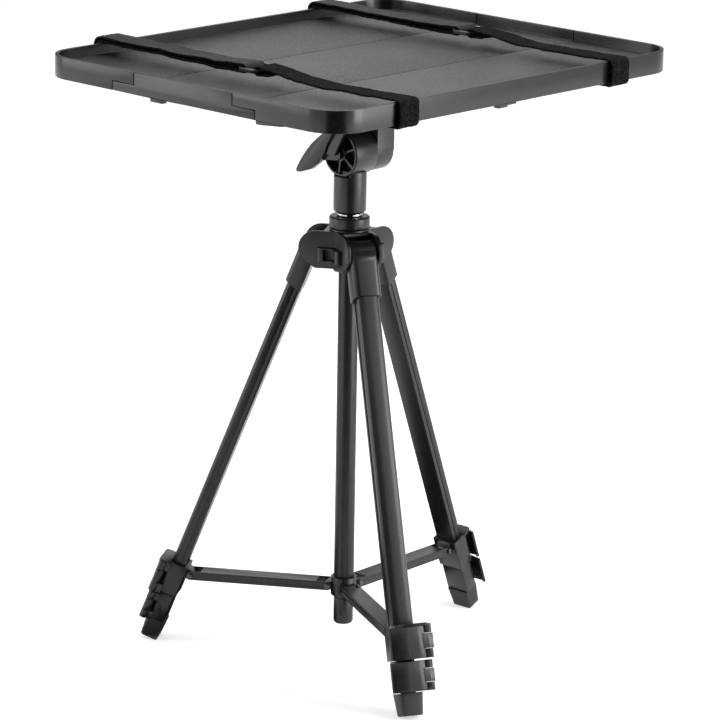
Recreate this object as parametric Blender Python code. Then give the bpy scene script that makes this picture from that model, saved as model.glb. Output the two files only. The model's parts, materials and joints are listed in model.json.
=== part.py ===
"""Projector table: a three-panel tray with two tie-down straps on a folding tripod.

Metres, +Z up, feet on Z = 0.  The origin lies on the floor under the middle of the tray.
X runs across the tray, along the straps.  Y runs along the tray.
"""
import math

import bmesh
import bpy
from mathutils import Matrix, Vector

# General clearances
GAP = 0.0003
ROUND_STEPS = 24

# Column axis, seen from the middle of the tray
COLUMN_X = -0.0063
COLUMN_Y = -0.0056

# Legs
LEG_AZIMUTHS = (-27.0, 93.0, 213.0)
LEG_SPREAD = math.radians(21.2)
PIVOT_RADIUS = 0.0275
PIVOT_INSET = 0.0036
PIVOT_KNUCKLE = 0.0098
LEG_WIDTH = 0.0196
LEG_FACE_WIDTH = 0.0188
LEG_DEPTH = 0.0126
LEG_RAIL_DEPTH = 0.0034
LEG_GROOVE = 0.0014
LEG_WALL = 0.0013
SLEEVE_WALL = 0.0020
SLEEVE_LENGTH = 0.0345
SLEEVE_SLANT = 0.0050
SLEEVE_START = 0.0040
UPPER_TUBE_TOP = 0.0080
UPPER_CLAMP_TOP = 0.3093
UPPER_CLAMP_LENGTH = 0.0280
LOWER_CLAMP_LENGTH = 0.0250
STACK_GAP = 0.0014
FOOT_GAP = 0.0005
SEAT_INSET = 0.0006
LOWER_INSET = 0.0014
KNUCKLE_PORTION = 0.27
FOOT_LENGTH = 0.0187
FOOT_FLAT = 0.0006
FOOT_OVER = 0.0022
FOOT_TAPER = 0.0010
FOOT_SIDE = 0.0008
FOOT_SIDE_TAPER = 0.0016
CLAMP_PAD = 0.0020
SLEEVE_BACK = 0.0009
CLAMP_WALL = 0.0026
INNER_TUBE_WALL = 0.0008
MIDDLE_TUBE_TOP = 0.0450
LOWER_TUBE_TOP = 0.0620
TUBE_CLEARANCE = 0.0004

# Clamp levers
LEVER_AXIS_OUT = 0.0118
LEVER_AXIS_SIDE = 0.0178
KNUCKLE_RADIUS = 0.0034
LEVER_THICKNESS = 0.0026
LEVER_FACE_OUT = 0.0160
LEVER_REACH = 0.0160
LEVER_LIP = 0.0014
LEVER_DROP = 0.0006
FLANGE_HEIGHT = 0.0016
FLANGE_CORNER = 0.0046
FLANGE_RISE = 0.0008

# Spreader
BRACKET_DROP = 0.0063
BRACKET_REACH = 0.0127
BRACKET_WIDTH = 0.0122
BRACKET_ROOT_LOW = 0.0012
BRACKET_ROOT_HIGH = 0.0022
HUB_PIVOT_RADIUS = 0.0130
HUB_HEIGHT = 0.0160
HUB_WALL = 0.0022
STRUT_WIDTH = 0.0160
STRUT_HEIGHT = 0.0074
STRUT_WALL = 0.0013
STRUT_NOTCH = 0.0095
PIN_RADIUS = 0.0016
PIN_HEAD_RADIUS = 0.0026
PIN_HEAD = 0.0008

# Guide tube and column
GUIDE_RADIUS = 0.0085
GUIDE_WALL = 0.0011
GUIDE_BELOW_HUB = 0.0100
GUIDE_GROOVE_WIDTH = 0.0054
GUIDE_GROOVE_DEPTH = 0.0006
GUIDE_GROOVE_AZIMUTH = -47.0
COLUMN_RADIUS = 0.0070
COLUMN_WALL = 0.0012
END_CAP_LENGTH = 0.0234
END_CAP_PLUG = 0.0090

# Shoulder
NOSE_RADIUS = 0.0143
NOSE_CENTRE_RADIUS = 0.0260
SLOT_CLEARANCE = 0.0005
CHEEK_WALL = 0.0026
LOBE_DROP = 0.0030
ROOF_CROWN = 0.0012
ROOF_WALL = 0.0026
ROOF_REACH = 0.0195
SHOULDER_CORE_RADIUS = 0.0165
SHOULDER_SKIRT = 0.0060
SOCKET_NEAR = 0.0082
SOCKET_FAR = 0.0240
SOCKET_RISE = 0.0048
SOCKET_HEIGHT = 0.0116
SOCKET_WALL = 0.0012
SOCKET_HOOD = 0.0058
SOCKET_LIFT = 0.0008
SOCKET_FLOOR = 0.0004

# Collar, pan ring and neck
COLLAR_RADIUS = 0.0170
COLLAR_HEIGHT = 0.0100
PAN_RING_RADIUS = 0.0109
PAN_RING_HEIGHT = 0.0026
NECK_RADIUS = 0.01375
NECK_RISE = 0.0503
NECK_SHELF = 0.0014
NECK_EDGE = 0.0025
SPIGOT_LENGTH = 0.0120

# Tilt joint
KNUCKLE_HUB_RADIUS = 0.0192
EAR_RADIUS = 0.0182
NECK_HUB_NEAR = -0.0100
NECK_HUB_FAR = 0.0130
EAR_FAR = 0.0335
HUB_RECESS = 0.0070
HUB_RING_WALL = 0.0022
HUB_RIB = 0.0016
HUB_RIBS = 6
HUB_RIB_TURN = -22.0
HUB_BOSS_RADIUS = 0.0056
BOLT_RADIUS = 0.0030
TILT_LEVER_STANDOFF = 0.0040
TILT_LEVER_THICKNESS = 0.0062
LEVER_WEB_THICKNESS = 0.0026
LEVER_BOSS_RADIUS = 0.0052
EAR_RISE = 0.0668
PLATE_SIZE = 0.0700
PLATE_THICKNESS = 0.0050
PLATE_CENTRE_Y = 0.0060

# Tray
TRAY_WIDTH = 0.3340
TRAY_LENGTH = 0.4096
RIM_HEIGHT = 0.0180
RIM_WALL = 0.0030
FLOOR_DROP = 0.0090
FLOOR_THICKNESS = 0.0030
CORNER_RADIUS = 0.0300
CORNER_STEPS = 8
LAP_REACH = 0.0250
LAP_DROP = 0.0102
LAP_FLOOR = 0.0030
RIB_WALL = 0.0020
RIB_HEIGHT = 0.0025
LUG_DROP = 0.0030
LUG_DEPTH = 0.0055
LUG_FROM = -0.0370
LUG_TO = -0.0230
RAMP_END = 0.1100
TAB_FROM = -0.0190
TAB_STEP = -0.0080
TAB_TO = 0.0020

# Straps
STRAP_WIDTH = 0.0250
STRAP_THICKNESS = 0.0018
STRAP_POSITIONS = (-0.1260, 0.1265)
STRAP_LAYER_GAP = 0.0007
STRAP_SEAT = 0.0004
STRAP_BULGE = 0.0030
STRAP_UNDER = 0.0012
STRAP_SAG = 0.0018
STRAP_SLACK = 0.0046
STRAP_TAIL = 0.0100
STRAP_LIFT_RUN = 0.0300
STRAP_STEP = 0.0220
RING_X = 0.0080
RING_LENGTH = 0.0190
RING_WIDTH = 0.0320
RING_BAR = 0.0030
RING_THICKNESS = 0.0022
RING_LOOSE = 0.0007

# Values worked out from the sizes above
SIN = math.sin(LEG_SPREAD)
COS = math.cos(LEG_SPREAD)
LOWER_CLAMP_TOP = UPPER_CLAMP_TOP + UPPER_CLAMP_LENGTH + STACK_GAP
FOOT_TOP = LOWER_CLAMP_TOP + LOWER_CLAMP_LENGTH + FOOT_GAP
FOOT_END = FOOT_TOP + FOOT_LENGTH
FOOT_INNER = LEG_DEPTH / 2 + FOOT_OVER - FOOT_TAPER
AXIS_TOP_Z = FOOT_END * COS + FOOT_INNER * SIN - FOOT_FLAT
AXIS_TOP_R = PIVOT_RADIUS + PIVOT_INSET * COS
PIVOT_Z = AXIS_TOP_Z - PIVOT_INSET * SIN
BRACKET_S = UPPER_CLAMP_TOP + BRACKET_DROP
BRACKET_R = AXIS_TOP_R + BRACKET_S * SIN - BRACKET_REACH * COS
BRACKET_Z = AXIS_TOP_Z - BRACKET_S * COS - BRACKET_REACH * SIN
STRUT_LENGTH = BRACKET_R - HUB_PIVOT_RADIUS
GUIDE_BOTTOM = BRACKET_Z - GUIDE_BELOW_HUB
NOSE_Z = PIVOT_Z - 0.0004
NOSE_TOP = NOSE_Z + NOSE_RADIUS
SHOULDER_TOP = NOSE_TOP + ROOF_CROWN
SLEEVE_HALF = LEG_WIDTH / 2 + SLEEVE_WALL
SLOT_HALF = SLEEVE_HALF + SLOT_CLEARANCE
CHEEK_OUT = SLOT_HALF + CHEEK_WALL
COLLAR_BOTTOM = SHOULDER_TOP + GAP
COLLAR_TOP = COLLAR_BOTTOM + COLLAR_HEIGHT
PAN_RING_BOTTOM = COLLAR_TOP + GAP
NECK_BOTTOM = PAN_RING_BOTTOM + PAN_RING_HEIGHT + GAP
TILT_Z = NECK_BOTTOM + NECK_RISE
PLATE_TOP = TILT_Z + EAR_RISE + PLATE_THICKNESS
TRAY_POCKET_Z = PLATE_TOP + GAP
LAP_Z = TRAY_POCKET_Z + LAP_FLOOR
RIM_TOP = LAP_Z + LAP_DROP
RIM_BOTTOM = RIM_TOP - RIM_HEIGHT
FLOOR_TOP = RIM_TOP - FLOOR_DROP
FLOOR_BOTTOM = FLOOR_TOP - FLOOR_THICKNESS
SEAM_X = TRAY_WIDTH / 6
HALF_W = TRAY_WIDTH / 2
HALF_L = TRAY_LENGTH / 2


def clear_scene():
    """Remove every object of the open scene."""
    for obj in list(bpy.data.objects):
        bpy.data.objects.remove(obj, do_unlink=True)


def make_material(name, colour, roughness, metallic=0.0):
    """Return a Principled material."""
    mat = bpy.data.materials.new(name)
    mat.use_nodes = True
    shader = mat.node_tree.nodes["Principled BSDF"]
    shader.inputs["Base Color"].default_value = (*colour, 1.0)
    shader.inputs["Roughness"].default_value = roughness
    shader.inputs["Metallic"].default_value = metallic
    return mat


def mesh_from(bm, name="solid"):
    """Turn a bmesh into mesh data with its faces pointing out."""
    bmesh.ops.recalc_face_normals(bm, faces=bm.faces)
    mesh = bpy.data.meshes.new(name)
    bm.to_mesh(mesh)
    bm.free()
    return mesh


def prism(points, low, high, axis="Z"):
    """Extrude a closed outline along an axis; the outline lies in the other two axes in order."""
    order = {"Z": (0, 1, 2), "Y": (0, 2, 1), "X": (1, 2, 0)}[axis]
    bm = bmesh.new()

    def place(a, b, c):
        co = [0.0, 0.0, 0.0]
        co[order[0]] = a
        co[order[1]] = b
        co[order[2]] = c
        return bm.verts.new(co)

    lower = [place(a, b, low) for a, b in points]
    upper = [place(a, b, high) for a, b in points]
    bm.faces.new(lower)
    bm.faces.new(list(reversed(upper)))
    count = len(points)
    for i in range(count):
        j = (i + 1) % count
        bm.faces.new((lower[i], upper[i], upper[j], lower[j]))
    return mesh_from(bm)


def box(x0, x1, y0, y1, z0, z1):
    """Return a rectangular block."""
    return prism([(x0, y0), (x1, y0), (x1, y1), (x0, y1)], z0, z1)


def arc(cx, cy, radius, start, end, steps):
    """Points along an arc, angles in degrees."""
    pts = []
    for i in range(steps + 1):
        a = math.radians(start + (end - start) * i / steps)
        pts.append((cx + radius * math.cos(a), cy + radius * math.sin(a)))
    return pts


def rounded_rect(x0, x1, y0, y1, radii, steps=4):
    """Outline of a rectangle; radii are for the corners (x1,y1), (x0,y1), (x0,y0), (x1,y0)."""
    corners = ((x1, y1, -1, -1, 0), (x0, y1, 1, -1, 90), (x0, y0, 1, 1, 180), (x1, y0, -1, 1, 270))
    pts = []
    for (cx, cy, sx, sy, start), r in zip(corners, radii):
        if r <= 0.0:
            pts.append((cx, cy))
        else:
            pts.extend(arc(cx + sx * r, cy + sy * r, r, start, start + 90, steps))
    return pts


def lathe(profile, steps=ROUND_STEPS, axis="Z"):
    """Turn a closed (radius, height) outline about an axis.  Radius 0 points lie on the axis."""
    bm = bmesh.new()
    rings = []
    for r, h in profile:
        if r < 1e-7:
            rings.append([bm.verts.new((0.0, 0.0, h))])
        else:
            ring = []
            for i in range(steps):
                a = 2 * math.pi * i / steps
                ring.append(bm.verts.new((r * math.cos(a), r * math.sin(a), h)))
            rings.append(ring)
    pairs = list(zip(rings, rings[1:] + rings[:1]))
    for first, second in pairs:
        if len(first) == 1 and len(second) == 1:
            continue
        for i in range(steps):
            j = (i + 1) % steps
            if len(first) == 1:
                bm.faces.new((first[0], second[j], second[i]))
            elif len(second) == 1:
                bm.faces.new((first[i], first[j], second[0]))
            else:
                bm.faces.new((first[i], first[j], second[j], second[i]))
    if axis == "Y":
        bmesh.ops.transform(bm, matrix=Matrix.Rotation(math.radians(-90), 4, "X"), verts=bm.verts)
    return mesh_from(bm)


def moved(mesh, offset=(0, 0, 0), turn_z=0.0):
    """Turn a mesh about Z (degrees) and shift it."""
    mesh.transform(Matrix.Translation(Vector(offset)) @ Matrix.Rotation(math.radians(turn_z), 4, "Z"))
    return mesh


def combine(mesh, others, operation):
    """Boolean a mesh with a list of meshes and return the new mesh."""
    body = bpy.data.objects.new("body", mesh)
    bpy.context.scene.collection.objects.link(body)
    tools = []
    for other in others:
        tool = bpy.data.objects.new("tool", other)
        bpy.context.scene.collection.objects.link(tool)
        mod = body.modifiers.new("op", "BOOLEAN")
        mod.operation = operation
        mod.solver = "EXACT"
        mod.object = tool
        tools.append(tool)
    graph = bpy.context.evaluated_depsgraph_get()
    result = bpy.data.meshes.new_from_object(body.evaluated_get(graph))
    for obj in [body] + tools:
        bpy.data.objects.remove(obj, do_unlink=True)
    bm = bmesh.new()
    bm.from_mesh(result)
    bmesh.ops.remove_doubles(bm, verts=bm.verts, dist=2e-6)
    bmesh.ops.dissolve_degenerate(bm, dist=1e-6, edges=bm.edges)
    bm.to_mesh(result)
    bm.free()
    return result


def cut(mesh, *tools):
    """Subtract the tools from a mesh."""
    return combine(mesh, tools, "DIFFERENCE")


def fuse(mesh, *others):
    """Join the other meshes to a mesh as one solid."""
    return combine(mesh, others, "UNION")


def add_part(name, mesh, material, parent=None, location=(0, 0, 0), rotation=(0, 0, 0)):
    """Make the named object of one sub-part."""
    mesh.name = name
    mesh.materials.clear()
    mesh.materials.append(material)
    obj = bpy.data.objects.new(name, mesh)
    bpy.context.scene.collection.objects.link(obj)
    obj.parent = parent
    obj.location = location
    obj.rotation_euler = rotation
    mesh.shade_smooth()
    mesh.set_sharp_from_angle(angle=math.radians(32))
    return obj


def add_empty(name, parent=None, location=(0, 0, 0), rotation=(0, 0, 0)):
    """Make an empty that carries the parts of one joint."""
    obj = bpy.data.objects.new(name, None)
    obj.empty_display_size = 0.02
    bpy.context.scene.collection.objects.link(obj)
    obj.parent = parent
    obj.location = location
    obj.rotation_euler = rotation
    return obj


def tray_outline(x0, x1, inset):
    """Outline of a tray panel between two X values; the tray's own corners are rounded."""
    r = CORNER_RADIUS - inset
    left = r if x0 <= -HALF_W + inset + 1e-6 else 0.0
    right = r if x1 >= HALF_W - inset - 1e-6 else 0.0
    y = HALF_L - inset
    return rounded_rect(x0, x1, -y, y, (right, left, left, right), CORNER_STEPS)


def centre_panel():
    """Middle third of the tray, with a lap tongue below each neighbour and ribs underneath."""
    seam = SEAM_X - GAP / 2
    tongue = SEAM_X + LAP_REACH - GAP / 2
    body = box(-seam, seam, -HALF_L, HALF_L, RIM_BOTTOM, RIM_TOP)
    lap = box(-tongue, tongue, -HALF_L, HALF_L, RIM_BOTTOM, LAP_Z - GAP / 2)
    body = fuse(body, lap)
    y = HALF_L - RIM_WALL
    well = box(-seam - 0.01, seam + 0.01, -y, y, FLOOR_TOP, RIM_TOP + 0.01)
    under = box(-tongue + RIB_WALL, tongue - RIB_WALL, -y, y, RIM_BOTTOM - 0.01, TRAY_POCKET_Z)
    body = cut(body, well, under)
    rib_low = TRAY_POCKET_Z - RIB_HEIGHT
    ribs = []
    start = PLATE_CENTRE_Y + COLUMN_Y + PLATE_SIZE / 2 + 0.006
    for side in (-1, 1):
        for step in range(3):
            y_mid = side * (start + step * (y - start) / 3)
            ribs.append(box(-tongue + RIB_WALL / 2, tongue - RIB_WALL / 2, y_mid - RIB_WALL / 2,
                            y_mid + RIB_WALL / 2, rib_low, TRAY_POCKET_Z + 0.001))
        x_mid = side * (PLATE_SIZE / 2 + 0.010)
        ribs.append(box(x_mid - RIB_WALL / 2, x_mid + RIB_WALL / 2, -HALF_L + RIM_WALL / 2,
                        HALF_L - RIM_WALL / 2, rib_low + 0.0004, TRAY_POCKET_Z + 0.0008))
    for side in (-1, 1):
        outer = side * (HALF_L - GAP)
        inner = side * (HALF_L - LUG_DEPTH)
        ribs.append(box(LUG_FROM, LUG_TO, min(outer, inner), max(outer, inner), RIM_BOTTOM - LUG_DROP,
                        RIM_BOTTOM + RIB_WALL))
    for rib in ribs:
        body = fuse(body, rib)
    return body


def side_panel(side):
    """Outer third of the tray; its lap lip rests on the middle panel's tongue."""
    inner = SEAM_X + GAP / 2
    body = prism(tray_outline(inner, HALF_W, 0.0), RIM_BOTTOM, RIM_TOP)
    well = prism(tray_outline(inner - 0.02, HALF_W - RIM_WALL, RIM_WALL), FLOOR_TOP, RIM_TOP + 0.01)
    step = SEAM_X + LAP_REACH + GAP / 2
    lap = box(inner - 0.02, step, -HALF_L - 0.01, HALF_L + 0.01, RIM_BOTTOM - 0.01, LAP_Z + GAP / 2)
    under = prism(tray_outline(step + RIB_WALL, HALF_W - RIM_WALL, RIM_WALL),
                  RIM_BOTTOM - 0.01, FLOOR_BOTTOM)
    body = cut(body, well, lap, under)
    rib_low = FLOOR_BOTTOM - RIB_HEIGHT
    x_end = HALF_W - RIM_WALL / 2
    for y_mid in (-HALF_L * 0.5, 0.0, HALF_L * 0.5):
        rib = box(step + RIB_WALL / 2, x_end, y_mid - RIB_WALL / 2, y_mid + RIB_WALL / 2,
                  rib_low, FLOOR_BOTTOM + 0.001)
        body = fuse(body, rib)
    top = RIM_BOTTOM + RIB_WALL
    low = RIM_BOTTOM - LUG_DROP
    x0 = step + GAP
    ramp = prism([(x0, top), (x0, low), (x0 + 0.005, low), (RAMP_END, RIM_BOTTOM - LUG_DROP * 0.3),
                  (RAMP_END, top)], -HALF_L + GAP, -HALF_L + LUG_DEPTH, "Y")
    shallow = RIM_BOTTOM - LUG_DROP * 0.55
    tab = prism([(TAB_FROM, top), (TAB_FROM, low), (TAB_STEP, low), (TAB_STEP, shallow),
                 (TAB_TO, shallow), (TAB_TO, top)], HALF_W - LUG_DEPTH, HALF_W - GAP, "X")
    body = fuse(body, ramp)
    body = fuse(body, tab)
    if side < 0:
        body.transform(Matrix.Rotation(math.pi, 4, "Z"))
    return body


def resample(points, step):
    """Points about one step apart along a polyline."""
    out = [Vector(points[0])]
    for a, b in zip(points, points[1:]):
        a, b = Vector(a), Vector(b)
        count = max(1, round((b - a).length / step))
        out.extend(a.lerp(b, k / count) for k in range(1, count + 1))
    return out


def strap_path():
    """Middle line of a strap in X and Z, from the free tail to the end stitched on the ring."""
    half = STRAP_THICKNESS / 2
    pitch = STRAP_THICKNESS + STRAP_LAYER_GAP
    top = RIM_TOP + STRAP_SEAT + half
    under = RIM_BOTTOM - STRAP_UNDER - half
    bend = STRAP_BULGE + half
    side = HALF_W + STRAP_BULGE + half
    loop = RING_BAR / 2 + RING_LOOSE + half
    ring_z = top - STRAP_SAG + loop
    left_bar = RING_X - RING_LENGTH / 2 + RING_BAR / 2
    right_bar = RING_X + RING_LENGTH / 2 - RING_BAR / 2
    run = STRAP_LIFT_RUN
    tail_bend = bend + pitch
    tail_side = side + pitch
    points = [(-tail_side, top - bend - STRAP_TAIL)]
    points += arc(-tail_side + tail_bend, top + pitch - tail_bend, tail_bend, 180, 90, 6)
    points.append((-HALF_W * 0.5, top + pitch - STRAP_SAG * 0.5))
    points.append((left_bar - run, ring_z - loop + pitch + 0.0012))
    points += arc(left_bar, ring_z, loop, 90, -90, 8)
    points.append((left_bar - run, ring_z - loop - 0.0003))
    points.append((-HALF_W * 0.5, top - STRAP_SAG * 0.5))
    points += arc(-side + bend, top - bend, bend, 90, 180, 6)
    points += arc(-side + bend, under + bend, bend, 180, 270, 6)
    points += arc(side - bend, under + bend, bend, 270, 360, 6)
    points += arc(side - bend, top - bend, bend, 0, 90, 6)
    points.append((HALF_W * 0.72, top - STRAP_SLACK * 0.85))
    points.append((HALF_W * 0.45, top - STRAP_SLACK))
    points.append((right_bar + run * 0.4, top - STRAP_SLACK * 0.05))
    points += arc(right_bar, ring_z, loop, 90, 270, 8)
    points.append((right_bar + run * 0.4, top - STRAP_SLACK * 0.9))
    return points


def strap(y_mid):
    """A strap as a flat strip swept along its path."""
    path = resample(strap_path(), STRAP_STEP)
    bm = bmesh.new()
    rings = []
    count = len(path)
    for i, p in enumerate(path):
        ahead = path[min(i + 1, count - 1)] - path[max(i - 1, 0)]
        normal = Vector((-ahead.y, ahead.x)).normalized()
        ring = []
        for across, out in ((-1, -1), (1, -1), (1, 1), (-1, 1)):
            q = p + normal * out * STRAP_THICKNESS / 2
            ring.append(bm.verts.new((q.x, y_mid + across * STRAP_WIDTH / 2, q.y)))
        rings.append(ring)
    for a, b in zip(rings, rings[1:]):
        for k in range(4):
            n = (k + 1) % 4
            bm.faces.new((a[k], a[n], b[n], b[k]))
    bm.faces.new(list(reversed(rings[0])))
    bm.faces.new(rings[-1])
    return mesh_from(bm)


def strap_ring(y_mid):
    """Moulded rectangular loop that joins the strap's ends."""
    half = STRAP_THICKNESS / 2
    z_mid = RIM_TOP + STRAP_SEAT + half - STRAP_SAG + RING_BAR / 2 + RING_LOOSE + half
    x0 = RING_X - RING_LENGTH / 2
    x1 = RING_X + RING_LENGTH / 2
    y0 = y_mid - RING_WIDTH / 2
    y1 = y_mid + RING_WIDTH / 2
    r = RING_BAR * 0.9
    body = prism(rounded_rect(x0, x1, y0, y1, (r,) * 4), z_mid - RING_THICKNESS / 2,
                 z_mid + RING_THICKNESS / 2)
    side_bar = (RING_WIDTH - STRAP_WIDTH) / 2 - GAP
    hole = box(x0 + RING_BAR, x1 - RING_BAR, y0 + side_bar, y1 - side_bar,
               z_mid - RING_BAR, z_mid + RING_BAR)
    return cut(body, hole)


def tilt_plate():
    """Ear of the tilt joint with the plate under the tray; local origin on the tilt axis."""
    near = NECK_HUB_FAR + GAP
    disc = lathe([(0, near), (EAR_RADIUS, near), (EAR_RADIUS, EAR_FAR - 0.001),
                  (EAR_RADIUS - 0.001, EAR_FAR), (0, EAR_FAR)], 32, "Y")
    top = EAR_RISE
    half = EAR_RADIUS * 0.985
    arm = box(-half, half, near, EAR_FAR, 0.0, top + 0.001)
    p = PLATE_SIZE / 2
    plate = prism(rounded_rect(-p, p, PLATE_CENTRE_Y - p, PLATE_CENTRE_Y + p, (0.006,) * 4),
                  top, top + PLATE_THICKNESS)
    gusset = prism([(near - 0.014, top + 0.001), (near + 0.001, top + 0.001),
                    (near + 0.001, top - 0.016)], -half * 0.6, half * 0.6, "X")
    body = fuse(disc, arm)
    body = fuse(body, plate)
    body = fuse(body, gusset)
    bore = lathe([(0, near - 0.01), (BOLT_RADIUS + GAP, near - 0.01),
                  (BOLT_RADIUS + GAP, EAR_FAR - 0.004), (0, EAR_FAR - 0.004)], 16, "Y")
    return cut(body, bore)


def head_neck():
    """Neck with the near half of the tilt joint; local origin on the tilt axis."""
    low = NECK_BOTTOM - TILT_Z
    r = NECK_RADIUS
    e = NECK_EDGE
    outline = [(0, low), (r - e, low)]
    outline += arc(r - e, low + e, e, -60, 0, 3)
    stem_top = -KNUCKLE_HUB_RADIUS + NECK_SHELF
    outline += [(r, stem_top - NECK_SHELF * 1.2), (r - NECK_SHELF, stem_top), (0, stem_top)]
    near = NECK_HUB_NEAR
    far = NECK_HUB_FAR
    big = KNUCKLE_HUB_RADIUS
    flat = box(-2 * r, 2 * r, far, 2 * r, -big - 2 * GAP, 2 * r)
    stem = cut(lathe(outline, 32), flat)
    disc = lathe([(0, near), (big - 0.0008, near), (big, near + 0.0008), (big, far), (0, far)], 32, "Y")
    body = fuse(disc, stem)
    inner = big - HUB_RING_WALL
    recess = lathe([(HUB_BOSS_RADIUS, near - 0.002), (inner, near - 0.002), (inner, near + HUB_RECESS),
                    (HUB_BOSS_RADIUS, near + HUB_RECESS)], 28, "Y")
    ribs = []
    for i in range(HUB_RIBS):
        angle = 360.0 * i / HUB_RIBS + HUB_RIB_TURN
        rib = box(HUB_BOSS_RADIUS * 0.8, inner + 0.0006, near + 0.0012, near + HUB_RECESS + 0.002,
                  -HUB_RIB / 2, HUB_RIB / 2)
        rib.transform(Matrix.Rotation(math.radians(angle), 4, "Y"))
        ribs.append(rib)
    for rib in ribs:
        recess = cut(recess, rib)
    body = cut(body, recess)
    hole = BOLT_RADIUS + GAP
    bore = lathe([(0, near - 0.01), (hole, near - 0.01), (hole, far + 0.01), (0, far + 0.01)], 16, "Y")
    socket_r = COLUMN_RADIUS + GAP
    socket = lathe([(0, low - 0.01), (socket_r, low - 0.01), (socket_r, low + SPIGOT_LENGTH + GAP),
                    (0, low + SPIGOT_LENGTH + GAP)], 24)
    return cut(body, bore, socket)


def tilt_lever():
    """Paddle lever and its clamp bolt; local origin on the tilt axis."""
    near = NECK_HUB_NEAR - GAP
    plate_near = near - TILT_LEVER_STANDOFF
    plate_far = plate_near - TILT_LEVER_THICKNESS
    outline = [(-0.0003, 0.0187), (-0.0120, 0.0168), (-0.0200, 0.0110), (-0.0267, 0.0057),
               (-0.0320, -0.0003), (-0.0367, -0.0072), (-0.0403, -0.0140), (-0.0419, -0.0178),
               (-0.0403, -0.0197), (-0.0360, -0.0192), (-0.0254, -0.0155), (-0.0160, -0.0084),
               (-0.0093, -0.0055), (0.0000, -0.0050), (0.0040, -0.0028), (0.0044, 0.0018),
               (0.0008, 0.0046), (-0.0034, 0.0052), (-0.0027, 0.0097)]
    blade = prism(outline, plate_far, plate_near, "Y")
    bm = bmesh.new()
    bm.from_mesh(blade)
    rim = [e for e in bm.edges if abs(e.verts[0].co.y - e.verts[1].co.y) < 1e-6]
    bmesh.ops.bevel(bm, geom=rim, offset=0.0014, segments=2, profile=0.5, affect="EDGES")
    blade = mesh_from(bm)
    web_near = plate_near - 0.0012
    web = prism([(0.0027, 0.0189), (0.0147, 0.0185), (0.0050, 0.0004), (-0.0046, 0.0010)],
                web_near - LEVER_WEB_THICKNESS, web_near, "Y")
    blade = fuse(blade, web)
    boss = lathe([(0, plate_near - 0.001), (LEVER_BOSS_RADIUS, plate_near - 0.001),
                  (LEVER_BOSS_RADIUS, near), (0, near)], 20, "Y")
    end = EAR_FAR - 0.004 - GAP
    bolt = lathe([(0, near - 0.001), (BOLT_RADIUS, near - 0.001), (BOLT_RADIUS, end), (0, end)], 16, "Y")
    body = fuse(blade, boss)
    return fuse(body, bolt)


def centre_column():
    """Round tube that slides in the guide tube and carries the head."""
    low = GUIDE_BOTTOM + END_CAP_PLUG + 0.003
    high = NECK_BOTTOM + SPIGOT_LENGTH
    inner = COLUMN_RADIUS - COLUMN_WALL
    return lathe([(inner, low), (COLUMN_RADIUS, low), (COLUMN_RADIUS, high), (inner, high)])


def pan_ring():
    """Polished ring under the neck."""
    inner = COLUMN_RADIUS + GAP
    low = PAN_RING_BOTTOM
    high = low + PAN_RING_HEIGHT
    e = 0.0006
    r = PAN_RING_RADIUS
    return lathe([(inner, low), (r - e, low), (r, low + e), (r, high - e), (r - e, high), (inner, high)])


def lock_collar():
    """Column lock collar on the shoulder."""
    inner = COLUMN_RADIUS + GAP
    low = COLLAR_BOTTOM
    high = COLLAR_TOP
    r = COLLAR_RADIUS
    e = 0.0010
    return lathe([(inner, low), (r - e, low), (r, low + e), (r, high - e), (r - e, high), (inner, high)],
                 32)


def guide_tube():
    """Grooved tube fixed in the shoulder; the hub slides on it and the column runs in it."""
    inner = GUIDE_RADIUS - GUIDE_WALL
    low = GUIDE_BOTTOM
    high = SHOULDER_TOP - ROOF_WALL - GAP
    body = lathe([(inner, low), (GUIDE_RADIUS, low), (GUIDE_RADIUS, high), (inner, high)], 36)
    half = GUIDE_GROOVE_WIDTH / 2
    for k in range(3):
        groove = box(GUIDE_RADIUS - GUIDE_GROOVE_DEPTH, GUIDE_RADIUS + 0.005, -half, half,
                     low - 0.01, high + 0.01)
        moved(groove, (0, 0, 0), GUIDE_GROOVE_AZIMUTH + 120 * k)
        body = cut(body, groove)
    return body


def guide_end_cap():
    """Plug with a rounded end that closes the guide tube."""
    top = GUIDE_BOTTOM - GAP
    low = top - END_CAP_LENGTH
    r = GUIDE_RADIUS - 0.0002
    plug = GUIDE_RADIUS - GUIDE_WALL - GAP
    e = 0.0028
    outline = [(0, low), (r - e, low)]
    outline += arc(r - e, low + e, e, -60, 0, 3)
    outline += [(r, top), (plug, top), (plug, top + END_CAP_PLUG), (0, top + END_CAP_PLUG)]
    body = lathe(outline, 32)
    slot = box(r - 0.0009, r + 0.004, -0.0006, 0.0006, low + 0.009, top - 0.002)
    moved(slot, (0, 0, 0), GUIDE_GROOVE_AZIMUTH - 12)
    return cut(body, slot)


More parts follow.
